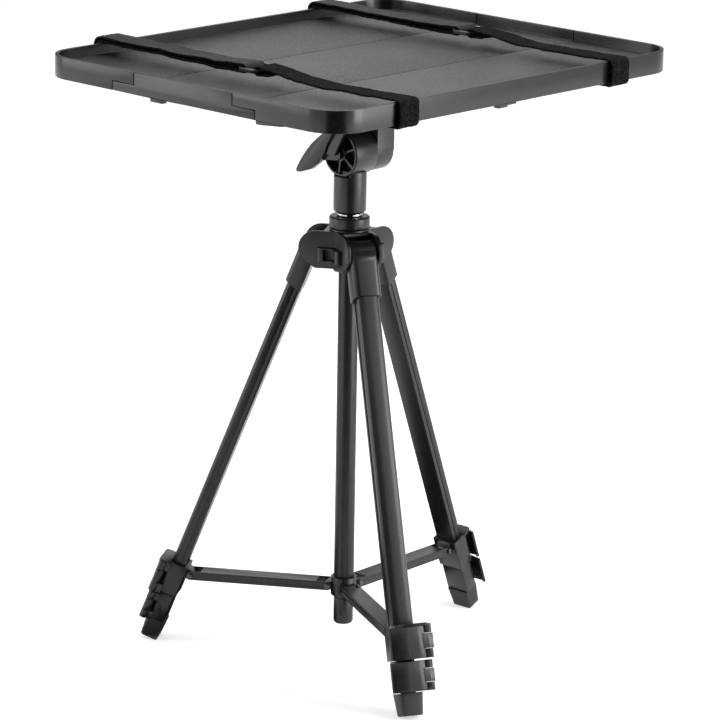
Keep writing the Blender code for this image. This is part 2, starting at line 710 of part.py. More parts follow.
def shoulder():
    """Three-lobed casting; each lobe is a hood with two cheeks for one leg."""
    core_low = NOSE_Z - NOSE_RADIUS - SHOULDER_SKIRT
    core_r = SHOULDER_CORE_RADIUS
    core = lathe([(0, core_low), (core_r - 0.0015, core_low), (core_r, core_low + 0.0015),
                  (core_r, SHOULDER_TOP), (0, SHOULDER_TOP)], 32)
    lobe_low = NOSE_Z - NOSE_RADIUS - LOBE_DROP
    lobe_side = [(0, lobe_low), (NOSE_CENTRE_RADIUS, lobe_low)]
    lobe_side += arc(NOSE_CENTRE_RADIUS, NOSE_Z, NOSE_RADIUS, -50, 90, 9)
    lobe_side.append((0, NOSE_TOP))
    body = core
    for azimuth in LEG_AZIMUTHS:
        lobe = prism(lobe_side, -CHEEK_OUT, CHEEK_OUT, "Y")
        body = fuse(body, moved(lobe, (0, 0, 0), azimuth))
    outline = rounded_rect(SOCKET_NEAR, SOCKET_FAR, SLOT_HALF + 0.001, CHEEK_OUT + SOCKET_RISE,
                           (0.0035, 0.0, 0.0, 0.0), 4)
    mirrored = [(x, -y) for x, y in reversed(outline)]
    socket_top = NOSE_Z + SOCKET_LIFT
    socket_low = socket_top - SOCKET_HEIGHT
    for azimuth in LEG_AZIMUTHS:
        for points in (outline, mirrored):
            socket = prism(points, socket_low, socket_top)
            body = fuse(body, moved(socket, (0, 0, 0), azimuth))
    bore_r = GUIDE_RADIUS + GAP
    bore = lathe([(0, core_low - 0.01), (bore_r, core_low - 0.01), (bore_r, SHOULDER_TOP - ROOF_WALL),
                  (COLUMN_RADIUS + GAP, SHOULDER_TOP - ROOF_WALL),
                  (COLUMN_RADIUS + GAP, SHOULDER_TOP + 0.01), (0, SHOULDER_TOP + 0.01)], 36)
    cutters = [bore]
    slot_in = GUIDE_RADIUS + 0.0022
    roof = NOSE_TOP - ROOF_WALL
    slot_side = [(slot_in, core_low - 0.01), (0.08, core_low - 0.01), (0.08, SHOULDER_TOP + 0.01),
                 (ROOF_REACH, SHOULDER_TOP + 0.01), (ROOF_REACH, roof), (slot_in, roof)]
    for azimuth in LEG_AZIMUTHS:
        slot = prism(slot_side, -SLOT_HALF, SLOT_HALF, "Y")
        cutters.append(moved(slot, (0, 0, 0), azimuth))
        floor = CHEEK_OUT + SOCKET_FLOOR
        for y0, y1 in ((floor, floor + 0.02), (-floor - 0.02, -floor)):
            hollow = box(SOCKET_NEAR + SOCKET_WALL, SOCKET_FAR - SOCKET_HOOD, y0, y1,
                         socket_low + SOCKET_WALL, socket_top - SOCKET_WALL)
            cutters.append(moved(hollow, (0, 0, 0), azimuth))
    for tool in cutters:
        body = cut(body, tool)
    return body


def spreader_hub():
    """Ring that slides on the guide tube, with a tongue for each strut; local origin at its middle."""
    inner = GUIDE_RADIUS + GAP
    outer = inner + HUB_WALL
    half_h = HUB_HEIGHT / 2
    body = lathe([(inner, -half_h), (outer, -half_h), (outer, half_h), (inner, half_h)], 32)
    tongue_r = STRUT_HEIGHT / 2 - 0.0002
    for azimuth in LEG_AZIMUTHS:
        side = [(inner + 0.0008, -tongue_r), (HUB_PIVOT_RADIUS, -tongue_r)]
        side += arc(HUB_PIVOT_RADIUS, 0, tongue_r, -60, 60, 6)
        side += [(HUB_PIVOT_RADIUS, tongue_r), (inner + 0.0008, tongue_r)]
        tongue = prism(side, -BRACKET_WIDTH / 2, BRACKET_WIDTH / 2, "Y")
        body = fuse(body, moved(tongue, (0, 0, 0), azimuth))
    bore = lathe([(0, -half_h - 0.01), (inner, -half_h - 0.01), (inner, half_h + 0.01),
                  (0, half_h + 0.01)], 32)
    body = cut(body, bore)
    hole_r = PIN_RADIUS + GAP
    for azimuth in LEG_AZIMUTHS:
        hole = lathe([(0, -0.02), (hole_r, -0.02), (hole_r, 0.02), (0, 0.02)], 12, "Y")
        hole.transform(Matrix.Translation((HUB_PIVOT_RADIUS, 0, 0)))
        body = cut(body, moved(hole, (0, 0, 0), azimuth))
    return body


def pivot_pin():
    """Headed pin across a strut end, along Y; local origin at its middle."""
    half = STRUT_WIDTH / 2 + GAP
    return lathe([(0, -half - PIN_HEAD), (PIN_HEAD_RADIUS, -half - PIN_HEAD), (PIN_HEAD_RADIUS, -half),
                  (PIN_RADIUS, -half), (PIN_RADIUS, half), (PIN_HEAD_RADIUS, half),
                  (PIN_HEAD_RADIUS, half + PIN_HEAD), (0, half + PIN_HEAD)], 12, "Y")


def strut():
    """Inverted channel between hub and leg; local origin on the hub pivot, along X."""
    half_w = STRUT_WIDTH / 2
    half_h = STRUT_HEIGHT / 2
    length = STRUT_LENGTH
    side = arc(0, 0, half_h, 270, 90, 8) + arc(length, 0, half_h, 90, -90, 8)
    body = prism(side, -half_w, half_w, "Y")
    inner = half_w - STRUT_WALL
    hollow = box(-0.02, length + 0.02, -inner, inner, -half_h - 0.01, half_h - STRUT_WALL)
    notch_a = box(-0.02, STRUT_NOTCH, -inner, inner, -half_h, half_h + 0.01)
    notch_b = box(length - STRUT_NOTCH, length + 0.02, -inner, inner, -half_h, half_h + 0.01)
    hole_r = PIN_RADIUS + GAP
    profile = [(0, -0.02), (hole_r, -0.02), (hole_r, 0.02), (0, 0.02)]
    hole_a = lathe(profile, 12, "Y")
    hole_b = moved(lathe(profile, 12, "Y"), (length, 0, 0))
    return cut(body, hollow, notch_a, notch_b, hole_a, hole_b)


def leg_outline(grow=0.0):
    """Outline of the outer leg tube in (out, side): flat rail, groove and arched face."""
    d = LEG_DEPTH / 2 + grow
    rail = LEG_WIDTH / 2 + grow
    face = LEG_FACE_WIDTH / 2 + grow
    rail_top = -LEG_DEPTH / 2 + LEG_RAIL_DEPTH
    neck = face - LEG_GROOVE / 2 - grow * 0.5
    right = [(-d, rail), (rail_top, rail), (rail_top, neck), (rail_top + LEG_GROOVE, neck),
             (rail_top + LEG_GROOVE, face), (d - 0.0032, face), (d - 0.0014, face - 0.0011),
             (d - 0.0003, face - 0.0036), (d, face - 0.0062)]
    left = [(x, -y) for x, y in reversed(right)]
    return right + left


def tube_section(out_low, out_high, half):
    """Plain inner tube outline with slightly rounded corners."""
    return rounded_rect(out_low, out_high, -half, half, (0.0012, 0.0, 0.0, 0.0012), 3)


def inner_section(level, grow=0.0):
    """Outline of a nested tube: level 0 is the bore of the upper tube, 1 the middle tube and so on."""
    shrink = LEG_WALL - grow
    if level > 0:
        shrink += TUBE_CLEARANCE + (level - 1) * (TUBE_CLEARANCE + INNER_TUBE_WALL)
    half = LEG_FACE_WIDTH / 2 - LEG_GROOVE / 2 - shrink
    low = -LEG_DEPTH / 2 + shrink
    high = LEG_DEPTH / 2 - shrink
    return tube_section(low, high, half)


def leg_top():
    """Moulded sleeve with the pivot knuckle; leg-local, Z is minus the distance along the leg."""
    half = SLEEVE_HALF
    out = LEG_DEPTH / 2 + SLEEVE_WALL
    back = -LEG_DEPTH / 2 - SLEEVE_BACK
    knuckle = PIVOT_KNUCKLE
    low = -SLEEVE_LENGTH - SLEEVE_START
    outline = rounded_rect(-PIVOT_INSET - knuckle, out, -half, half, (0.0050, 0.0006, 0.0006, 0.0050), 5)
    column = prism(outline, low - SLEEVE_SLANT, knuckle)
    side = [(back, low - SLEEVE_SLANT * 0.7), (out + 0.001, low + SLEEVE_SLANT * 0.3),
            (out + 0.001, -0.0090), (out, -0.0090), (out - 0.0005, -0.0045)]
    side += arc(-PIVOT_INSET, 0, knuckle, 0, 180, 12)
    side.append((back, -0.0080))
    body = combine(column, [prism(side, -half - 0.001, half + 0.001, "Y")], "INTERSECT")
    bore = prism(leg_outline(GAP), -SLEEVE_LENGTH - SLEEVE_START - 0.01, -UPPER_TUBE_TOP + GAP)
    return cut(body, bore)


def upper_tube():
    """Outer leg tube."""
    low = -(UPPER_CLAMP_TOP + UPPER_CLAMP_LENGTH * 0.45)
    body = prism(leg_outline(), low, -UPPER_TUBE_TOP)
    bore = prism(inner_section(0), low - 0.01, -UPPER_TUBE_TOP + 0.01)
    return cut(body, bore)


def nested_tube(level, top, bottom):
    """Tube that slides in the next larger one."""
    body = prism(inner_section(level), -bottom, -top)
    wall = INNER_TUBE_WALL
    if level == 1:
        bore = prism(inner_section(level, -wall), -bottom - 0.01, -top + 0.01)
        body = cut(body, bore)
    return body


def clamp_body(top, length, inset, bore_outline, bore_depth, passage, with_bracket):
    """Collar of a leg lock; leg-local."""
    half = LEG_WIDTH / 2 + CLAMP_WALL - inset
    out = LEG_DEPTH / 2 + CLAMP_WALL - inset
    back = -LEG_DEPTH / 2 - CLAMP_WALL + inset
    axis_out = LEVER_AXIS_OUT - inset
    axis_side = LEVER_AXIS_SIDE - inset
    bottom = top + length
    outline = rounded_rect(back, out, -half, half, (0.0036, 0.0008, 0.0008, 0.0036), 4)
    body = prism(outline, -bottom, -top)
    pad_half = LEG_FACE_WIDTH / 2 - 0.004
    pad = prism([(out - 0.002, -pad_half), (out + CLAMP_PAD, -pad_half + 0.001),
                 (out + CLAMP_PAD, pad_half - 0.001), (out - 0.002, pad_half)],
                -bottom + length * 0.15, -top - length * 0.15)
    body = fuse(body, pad)
    knuckle = length * KNUCKLE_PORTION
    for z0, z1 in ((-top - knuckle, -top), (-bottom, -bottom + knuckle)):
        barrel = lathe([(0, z0), (KNUCKLE_RADIUS, z0), (KNUCKLE_RADIUS, z1), (0, z1)], 16)
        barrel.transform(Matrix.Translation((axis_out, axis_side, 0)))
        body = fuse(body, barrel)
        web = box(axis_out - KNUCKLE_RADIUS * 2.2, axis_out + KNUCKLE_RADIUS * 0.3,
                  half - 0.002, axis_side, z0 + 0.00005, z1 - 0.00005)
        body = fuse(body, web)
    if with_bracket:
        flange = prism(rounded_rect(out - 0.003, LEVER_FACE_OUT, -half, axis_side,
                                    (0.0030, 0.0, 0.0, FLANGE_CORNER), 5),
                       -top - FLANGE_HEIGHT, -top + FLANGE_RISE)
        body = fuse(body, flange)
    else:
        seat = prism(rounded_rect(back + SEAT_INSET, out - SEAT_INSET, -half + SEAT_INSET, half * 0.35,
                                  (0.0, 0.0, 0.0006, 0.0030), 4), -top - 0.001, -top + STACK_GAP - GAP)
        body = fuse(body, seat)
    if with_bracket:
        tongue_r = STRUT_HEIGHT / 2 - 0.0002
        side = [(back + 0.001, -BRACKET_S - tongue_r - BRACKET_ROOT_LOW),
                (-BRACKET_REACH, -BRACKET_S - tongue_r)]
        side += arc(-BRACKET_REACH, -BRACKET_S, tongue_r, 250, 110, 8)
        side += [(-BRACKET_REACH, -BRACKET_S + tongue_r),
                 (back + 0.001, -BRACKET_S + tongue_r + BRACKET_ROOT_HIGH)]
        tongue = prism(side, -BRACKET_WIDTH / 2, BRACKET_WIDTH / 2, "Y")
        body = fuse(body, tongue)
        hole_r = PIN_RADIUS + GAP
        hole = lathe([(0, -0.02), (hole_r, -0.02), (hole_r, 0.02), (0, 0.02)], 12, "Y")
        body = cut(body, moved(hole, (-BRACKET_REACH, 0, -BRACKET_S)))
    bore = prism(bore_outline, -top - bore_depth, -top + 0.01)
    through = prism(passage, -bottom - 0.01, -top - bore_depth + 0.001)
    return cut(body, bore, through)


def clamp_lever(length, drop):
    """Flap of a leg lock; local origin on its hinge axis, at the top of the clamp."""
    knuckle = length * KNUCKLE_PORTION + GAP
    out = LEVER_FACE_OUT - LEVER_AXIS_OUT
    inner = out - LEVER_THICKNESS
    far = -LEVER_AXIS_SIDE - LEVER_REACH
    near = -LEVER_AXIS_SIDE + LEG_WIDTH / 2 + CLAMP_WALL
    outline = [(inner, near), (inner, far + 0.0030), (inner - LEVER_LIP, far + 0.0024),
               (inner - LEVER_LIP, far + 0.0008), (inner, far), (out - 0.0012, far),
               (out - 0.0002, far + 0.0010), (out + 0.0004, (near + far) / 2), (out, near - 0.003),
               (out - 0.0006, near + 0.0012), (inner, near + 0.0012)]
    body = prism(outline, -length + GAP, -drop)
    wrap = [(inner, near), (out - 0.00005, near)]
    wrap += arc(0, 0, out, 0, 172, 9)
    wrap += [(-0.0026, -0.0032), (0.0002, -0.0040)]
    arm = prism(wrap, -length + knuckle, -knuckle)
    return fuse(body, arm)


def foot():
    """Rubber foot under the lower tube; leg-local, cut level with the floor."""
    half = LEG_WIDTH / 2 + FOOT_SIDE
    out = LEG_DEPTH / 2 + FOOT_OVER
    outline = rounded_rect(-out, out, -half, half, (0.0036, 0.0008, 0.0008, 0.0036), 4)
    body = prism(outline, -FOOT_END, -FOOT_TOP)
    mesh = bmesh.new()
    mesh.from_mesh(body)
    shrink = {"deep": FOOT_INNER / out, "side": (half - FOOT_SIDE_TAPER) / half}
    for v in mesh.verts:
        if v.co.z < -FOOT_END + 1e-6:
            v.co.x *= shrink["deep"]
            v.co.y *= shrink["side"]
    low = [e for e in mesh.edges if max(v.co.z for v in e.verts) < -FOOT_END + 1e-6]
    bmesh.ops.bevel(mesh, geom=low, offset=0.0008, segments=1, profile=0.5, affect="EDGES")
    floor_point = Vector((-FOOT_INNER, 0, -FOOT_END)) + Vector((SIN, 0, COS)) * FOOT_FLAT
    cutting = bmesh.ops.bisect_plane(mesh, geom=mesh.verts[:] + mesh.edges[:] + mesh.faces[:],
                                     plane_co=floor_point, plane_no=Vector((-SIN, 0, -COS)),
                                     clear_outer=True, dist=1e-7)
    rim = [g for g in cutting["geom_cut"] if isinstance(g, bmesh.types.BMEdge)]
    if rim:
        bmesh.ops.contextual_create(mesh, geom=rim)
    body = mesh_from(mesh)
    socket = prism(inner_section(2, GAP), -FOOT_TOP - FOOT_LENGTH * 0.55, -FOOT_TOP + 0.01)
    return cut(body, socket)


def build():
    """Make every sub-part and place it."""
    clear_scene()
    tray_plastic = make_material("tray_plastic", (0.030, 0.030, 0.032), 0.55)
    webbing = make_material("strap_webbing", (0.018, 0.018, 0.020), 0.9)
    moulded = make_material("moulded_plastic", (0.035, 0.035, 0.037), 0.5)
    dark_plastic = make_material("dark_plastic", (0.022, 0.022, 0.024), 0.45)
    anodised = make_material("anodised_tube", (0.045, 0.045, 0.048), 0.38, 0.6)
    chrome = make_material("polished_ring", (0.8, 0.8, 0.82), 0.12, 1.0)
    steel = make_material("pin_steel", (0.10, 0.10, 0.11), 0.35, 0.9)
    rubber = make_material("rubber", (0.020, 0.020, 0.021), 0.8)

    add_part("tray_centre_panel", centre_panel(), tray_plastic)
    add_part("tray_left_panel", side_panel(-1), tray_plastic)
    add_part("tray_right_panel", side_panel(1), tray_plastic)
    for number, y_mid in enumerate(STRAP_POSITIONS, start=1):
        add_part(f"strap_{number}", strap(y_mid), webbing)
        add_part(f"strap_ring_{number}", strap_ring(y_mid), dark_plastic)

    column = add_empty("column_axis", None, (COLUMN_X, COLUMN_Y, 0))
    tilt = add_empty("tilt_axis", column, (0, 0, TILT_Z))
    add_part("tilt_plate", tilt_plate(), moulded, tilt)
    add_part("head_neck", head_neck(), moulded, tilt)
    add_part("tilt_lever", tilt_lever(), dark_plastic, tilt)
    add_part("centre_column", centre_column(), anodised, column)
    add_part("pan_ring", pan_ring(), chrome, column)
    add_part("lock_collar", lock_collar(), moulded, column)
    add_part("guide_tube", guide_tube(), anodised, column)
    add_part("guide_end_cap", guide_end_cap(), moulded, column)
    add_part("shoulder", shoulder(), moulded, column)

    hub = add_empty("hub_slide", column, (0, 0, BRACKET_Z))
    add_part("spreader_hub", spreader_hub(), moulded, hub)
    bore_upper = leg_outline(GAP)
    for number, azimuth in enumerate(LEG_AZIMUTHS, start=1):
        turn = math.radians(azimuth)
        direction = Vector((math.cos(turn), math.sin(turn), 0))
        hub_pivot = add_empty(f"hub_pivot_{number}", hub, direction * HUB_PIVOT_RADIUS, (0, 0, turn))
        add_part(f"hub_pin_{number}", pivot_pin(), steel, hub_pivot)
        add_part(f"strut_{number}", strut(), anodised, hub_pivot)
        bracket = add_empty(f"leg_bracket_{number}", column,
                            direction * BRACKET_R + Vector((0, 0, BRACKET_Z)), (0, -LEG_SPREAD, turn))
        add_part(f"bracket_pin_{number}", pivot_pin(), steel, bracket)
        leg = (BRACKET_REACH, 0, BRACKET_S)
        add_part(f"leg_top_{number}", leg_top(), moulded, bracket, leg)
        add_part(f"upper_tube_{number}", upper_tube(), anodised, bracket, leg)
        upper_clamp = clamp_body(UPPER_CLAMP_TOP, UPPER_CLAMP_LENGTH, 0.0, bore_upper,
                                 UPPER_CLAMP_LENGTH * 0.45 + GAP, inner_section(1, TUBE_CLEARANCE), True)
        add_part(f"upper_clamp_{number}", upper_clamp, moulded, bracket, leg)
        middle_end = LOWER_CLAMP_TOP + LOWER_CLAMP_LENGTH * 0.5
        add_part(f"middle_tube_{number}", nested_tube(1, MIDDLE_TUBE_TOP, middle_end),
                 anodised, bracket, leg)
        lower_clamp = clamp_body(LOWER_CLAMP_TOP, LOWER_CLAMP_LENGTH, LOWER_INSET, inner_section(1, GAP),
                                 LOWER_CLAMP_LENGTH * 0.5 + GAP, inner_section(2, TUBE_CLEARANCE), False)
        add_part(f"lower_clamp_{number}", lower_clamp, moulded, bracket, leg)
        lower_end = FOOT_TOP + FOOT_LENGTH * 0.55 - GAP
        add_part(f"lower_tube_{number}", nested_tube(2, LOWER_TUBE_TOP, lower_end),
                 anodised, bracket, leg)
        add_part(f"foot_{number}", foot(), rubber, bracket, leg)
        for kind, top, length, drop, inset in (
                ("upper", UPPER_CLAMP_TOP, UPPER_CLAMP_LENGTH, FLANGE_HEIGHT + GAP, 0.0),
                ("lower", LOWER_CLAMP_TOP, LOWER_CLAMP_LENGTH, LEVER_DROP, LOWER_INSET)):
            hinge = add_empty(f"{kind}_lever_axis_{number}", bracket,
                              Vector(leg) + Vector((LEVER_AXIS_OUT - inset, LEVER_AXIS_SIDE - inset,
                                                    -top)))
            add_part(f"{kind}_lever_{number}", clamp_lever(length, drop), dark_plastic, hinge)


build()
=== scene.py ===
import json
import math

import bmesh
import bpy
from mathutils import Matrix, Vector, noise


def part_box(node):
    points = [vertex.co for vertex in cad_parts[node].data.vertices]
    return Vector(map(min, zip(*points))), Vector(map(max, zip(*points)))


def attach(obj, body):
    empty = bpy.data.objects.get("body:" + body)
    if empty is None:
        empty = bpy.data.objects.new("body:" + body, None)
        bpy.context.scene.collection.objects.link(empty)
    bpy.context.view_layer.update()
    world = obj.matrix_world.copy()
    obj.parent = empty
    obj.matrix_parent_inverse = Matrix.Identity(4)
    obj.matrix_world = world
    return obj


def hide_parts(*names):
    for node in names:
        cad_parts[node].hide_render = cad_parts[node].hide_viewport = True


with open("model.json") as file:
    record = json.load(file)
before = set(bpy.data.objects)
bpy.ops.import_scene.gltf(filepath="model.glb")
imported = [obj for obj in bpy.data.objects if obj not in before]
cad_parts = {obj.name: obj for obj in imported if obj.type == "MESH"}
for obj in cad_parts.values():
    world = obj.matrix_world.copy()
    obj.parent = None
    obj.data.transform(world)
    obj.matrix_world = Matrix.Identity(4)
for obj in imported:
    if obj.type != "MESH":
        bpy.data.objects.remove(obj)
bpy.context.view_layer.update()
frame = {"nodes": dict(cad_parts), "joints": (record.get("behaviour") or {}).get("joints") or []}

bl_info = {
    "name": "Projector Table",
    "version": (1, 0, 0),
    "blender": (4, 5, 0),
    "location": "3D View > Sidebar > Table",
    "description": "Dresses the projector table: tray, straps, tilt head, tripod and studio",
    "category": "Object",
}


def joint(name):
    """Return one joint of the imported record."""
    return next(j for j in frame["joints"] if j["name"] == name)


MM = 0.001
LEGS = (1, 2, 3)
RIM_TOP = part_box("tray_centre_panel")[1][2]
HALF_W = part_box("tray_right_panel")[1][0]
STRAP_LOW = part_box("strap_1")[0][2]
TILT = Vector(joint("tray_tilt")["pos_m"])

# Two depths that the frame doesn't name: the tongues of the middle panel below the top of its rim,
# and the ribbed face of the tilt hub in front of the tilt joint
LAP_DROP = 10.35 * MM
HUB_NEAR = 10.0 * MM


# Colours and materials

def linear(hex_colour):
    """Turn an sRGB hex value into linear RGBA."""
    channels = [int(hex_colour[i:i + 2], 16) / 255 for i in (1, 3, 5)]
    return tuple(c / 12.92 if c <= 0.04045 else ((c + 0.055) / 1.055) ** 2.4 for c in channels) + (1.0,)


def add_node(tree, kind, inputs=None, **settings):
    """Add a node; an input given as a socket is linked, any other value is set."""
    made = tree.nodes.new(kind)
    for key, value in settings.items():
        setattr(made, key, value)
    for key, value in (inputs or {}).items():
        if isinstance(value, bpy.types.NodeSocket):
            tree.links.new(value, made.inputs[key])
        else:
            made.inputs[key].default_value = value
    return made


def start_material(name, metallic=0.0):
    """Return a material, its tree, its shader and its object coordinates."""
    mat = bpy.data.materials.new(name)
    mat.use_nodes = True
    tree = mat.node_tree
    shader = tree.nodes["Principled BSDF"]
    shader.inputs["Metallic"].default_value = metallic
    place = add_node(tree, "ShaderNodeTexCoord").outputs["Object"]
    return mat, tree, shader, place


def two_tone(tree, factor, dark, light):
    """Mix two hex colours by a factor.  Sockets 6 and 7 are the node's two colours, 2 its result."""
    mix = add_node(tree, "ShaderNodeMix", {0: factor, 6: linear(dark), 7: linear(light)},
                   data_type="RGBA")
    return mix.outputs[2]


def grained_abs(colour):
    """Moulded ABS with a spark-eroded grain.

    It is a dark sheet with an even speckle that goes pale where it is seen along the surface.
    The real grain was not measured; 2.2 mm was chosen so that it shows from a low angle.
    """
    grain_size, grain_depth, cloud_size = 2.2 * MM, 0.60 * MM, 60 * MM
    mat, tree, shader, place = start_material("moulded_abs_grained")
    grain = add_node(tree, "ShaderNodeTexNoise", {"Vector": place, "Scale": 1 / grain_size,
                                                  "Detail": 4.0, "Roughness": 0.75})
    cloud = add_node(tree, "ShaderNodeTexNoise", {"Vector": place, "Scale": 1 / cloud_size,
                                                  "Detail": 2.0})
    tone = add_node(tree, "ShaderNodeMapRange", {"Value": grain.outputs["Fac"], "From Min": 0.38,
                                                 "From Max": 0.66})
    tree.links.new(two_tone(tree, tone.outputs[0], "#141414", colour), shader.inputs["Base Color"])
    rough = add_node(tree, "ShaderNodeMapRange", {"Value": cloud.outputs["Fac"], "To Min": 0.34,
                                                  "To Max": 0.44})
    tree.links.new(rough.outputs[0], shader.inputs["Roughness"])
    gloss = add_node(tree, "ShaderNodeMapRange", {"Value": grain.outputs["Fac"], "From Min": 0.38,
                                                  "From Max": 0.66, "To Min": 0.24, "To Max": 0.86})
    tree.links.new(gloss.outputs[0], shader.inputs["Specular IOR Level"])
    bump = add_node(tree, "ShaderNodeBump", {"Height": grain.outputs["Fac"], "Strength": 0.9,
                                             "Distance": grain_depth})
    tree.links.new(bump.outputs["Normal"], shader.inputs["Normal"])
    return mat


def satin_rim_abs_with_painted_shade(colour):
    """Moulded ABS on the satin faces of the rim: glossier than the grained floor, and darker, which is
    painted shade on the walls.
    """
    flow_size = 22 * MM
    mat, tree, shader, place = start_material("moulded_abs_satin_painted_shade")
    flow = add_node(tree, "ShaderNodeTexNoise", {"Vector": place, "Scale": 1 / flow_size,
                                                 "Detail": 3.0})
    # Both tones are darker than the floor's, as painted shade on the tray's walls; the flow noise varies
    # them at random
    tree.links.new(two_tone(tree, flow.outputs["Fac"], "#0c0c0c", colour), shader.inputs["Base Color"])
    rough = add_node(tree, "ShaderNodeMapRange", {"Value": flow.outputs["Fac"], "To Min": 0.20,
                                                  "To Max": 0.30})
    tree.links.new(rough.outputs[0], shader.inputs["Roughness"])
    return mat


def satin_nylon(name, colour, roughness):
    """Glass-filled nylon from a blasted mould: an even dark satin with faint mottling."""
    blast_size, blast_depth, flow_size = 0.5 * MM, 0.04 * MM, 14 * MM
    mat, tree, shader, place = start_material(name)
    fine = add_node(tree, "ShaderNodeTexNoise", {"Vector": place, "Scale": 1 / blast_size,
                                                 "Detail": 2.0})
    broad = add_node(tree, "ShaderNodeTexNoise", {"Vector": place, "Scale": 1 / flow_size,
                                                  "Detail": 3.0})
    tree.links.new(two_tone(tree, broad.outputs["Fac"], "#0e0e0e", colour), shader.inputs["Base Color"])
    rough = add_node(tree, "ShaderNodeMapRange", {"Value": broad.outputs["Fac"],
                                                  "To Min": roughness - 0.05,
                                                  "To Max": roughness + 0.07})
    tree.links.new(rough.outputs[0], shader.inputs["Roughness"])
    bump = add_node(tree, "ShaderNodeBump", {"Height": fine.outputs["Fac"], "Strength": 0.25,
                                             "Distance": blast_depth})
    tree.links.new(bump.outputs["Normal"], shader.inputs["Normal"])
    return mat


def anodised_aluminium(colour):
    """Extruded aluminium, dark anodised: soft metal sheen with faint streaks.

    The noise is stretched 33 times in Z, which is the column's length and 21 degrees off the legs'.
    """
    streak_size, streak_depth = 0.7 * MM, 0.03 * MM
    mat, tree, shader, place = start_material("dark_anodised_aluminium", metallic=0.85)
    stretch = add_node(tree, "ShaderNodeMapping", {"Vector": place, "Scale": (1.0, 1.0, 0.03)})
    streak = add_node(tree, "ShaderNodeTexNoise", {"Vector": stretch.outputs[0],
                                                   "Scale": 1 / streak_size, "Detail": 2.0})
    tree.links.new(two_tone(tree, streak.outputs["Fac"], "#2e2e2e", colour), shader.inputs["Base Color"])
    rough = add_node(tree, "ShaderNodeMapRange", {"Value": streak.outputs["Fac"], "To Min": 0.32,
                                                  "To Max": 0.44})
    tree.links.new(rough.outputs[0], shader.inputs["Roughness"])
    bump = add_node(tree, "ShaderNodeBump", {"Height": streak.outputs["Fac"], "Strength": 0.12,
                                             "Distance": streak_depth})
    tree.links.new(bump.outputs["Normal"], shader.inputs["Normal"])
    return mat


def loop_pile(colour):
    """Brushed nylon loop pile: a matt, mottled, slightly woolly face with grey flecks.

    The sizes of its clumps and flecks were chosen to look like the fuzz in the photo.
    """
    clump_size, fleck_size, pile_depth = 1.6 * MM, 1.8 * MM, 0.7 * MM
    mat, tree, shader, place = start_material("nylon_loop_pile")
    clump = add_node(tree, "ShaderNodeTexVoronoi", {"Vector": place, "Scale": 1 / clump_size})
    fuzz = add_node(tree, "ShaderNodeTexNoise", {"Vector": place, "Scale": 1 / fleck_size,
                                                 "Detail": 5.0, "Roughness": 0.75})
    tone = add_node(tree, "ShaderNodeMapRange", {"Value": fuzz.outputs["Fac"], "From Min": 0.48,
                                                 "From Max": 0.70})
    tree.links.new(two_tone(tree, tone.outputs[0], "#020202", colour), shader.inputs["Base Color"])
    height = add_node(tree, "ShaderNodeMath", {0: fuzz.outputs["Fac"], 1: clump.outputs["Distance"]},
                      operation="SUBTRACT")
    bump = add_node(tree, "ShaderNodeBump", {"Height": height.outputs[0], "Strength": 0.9,
                                             "Distance": pile_depth})
    tree.links.new(bump.outputs["Normal"], shader.inputs["Normal"])
    shader.inputs["Roughness"].default_value = 0.95
    shader.inputs["Specular IOR Level"].default_value = 0.12
    return mat


def woven_tape(colour):
    """Back of the strap: a tight polyamide weave, smoother and a little glossier than the pile."""
    weave_scale, thread_depth = 9.0 * MM, 0.2 * MM
    mat, tree, shader, place = start_material("woven_polyamide_tape")
    thread = {"Vector": place, "Scale": 1 / weave_scale, "Distortion": 1.5, "Detail": 2.0}
    warp = add_node(tree, "ShaderNodeTexWave", thread, bands_direction="Y")
    weft = add_node(tree, "ShaderNodeTexWave", thread, bands_direction="X")
    weave = add_node(tree, "ShaderNodeMath", {0: warp.outputs["Fac"], 1: weft.outputs["Fac"]},
                     operation="MULTIPLY")
    tree.links.new(two_tone(tree, weave.outputs[0], "#080808", colour), shader.inputs["Base Color"])
    bump = add_node(tree, "ShaderNodeBump", {"Height": weave.outputs[0], "Strength": 0.5,
                                             "Distance": thread_depth})
    tree.links.new(bump.outputs["Normal"], shader.inputs["Normal"])
    shader.inputs["Roughness"].default_value = 0.6
    shader.inputs["Specular IOR Level"].default_value = 0.3
    return mat


def polished_chrome():
    """Chrome on the pan ring: a mirror with faint clouds of tone."""
    cloud_size = 2.0 * MM
    mat, tree, shader, place = start_material("polished_chrome", metallic=1.0)
    cloud = add_node(tree, "ShaderNodeTexNoise", {"Vector": place, "Scale": 1 / cloud_size,
                                                  "Detail": 2.0})
    tree.links.new(two_tone(tree, cloud.outputs["Fac"], "#b9b9bb", "#e6e6e8"),
                   shader.inputs["Base Color"])
    shader.inputs["Roughness"].default_value = 0.12
    return mat


def blackened_steel():
    """Blackened steel of the pins: dark metal with brighter, rubbed patches."""
    rub_size = 1.5 * MM
    mat, tree, shader, place = start_material("blackened_steel", metallic=1.0)
    rub = add_node(tree, "ShaderNodeTexNoise", {"Vector": place, "Scale": 1 / rub_size,
                                                "Detail": 3.0})
    tree.links.new(two_tone(tree, rub.outputs["Fac"], "#2c2c2e", "#6c6c70"),
                   shader.inputs["Base Color"])
    shader.inputs["Roughness"].default_value = 0.32
    return mat


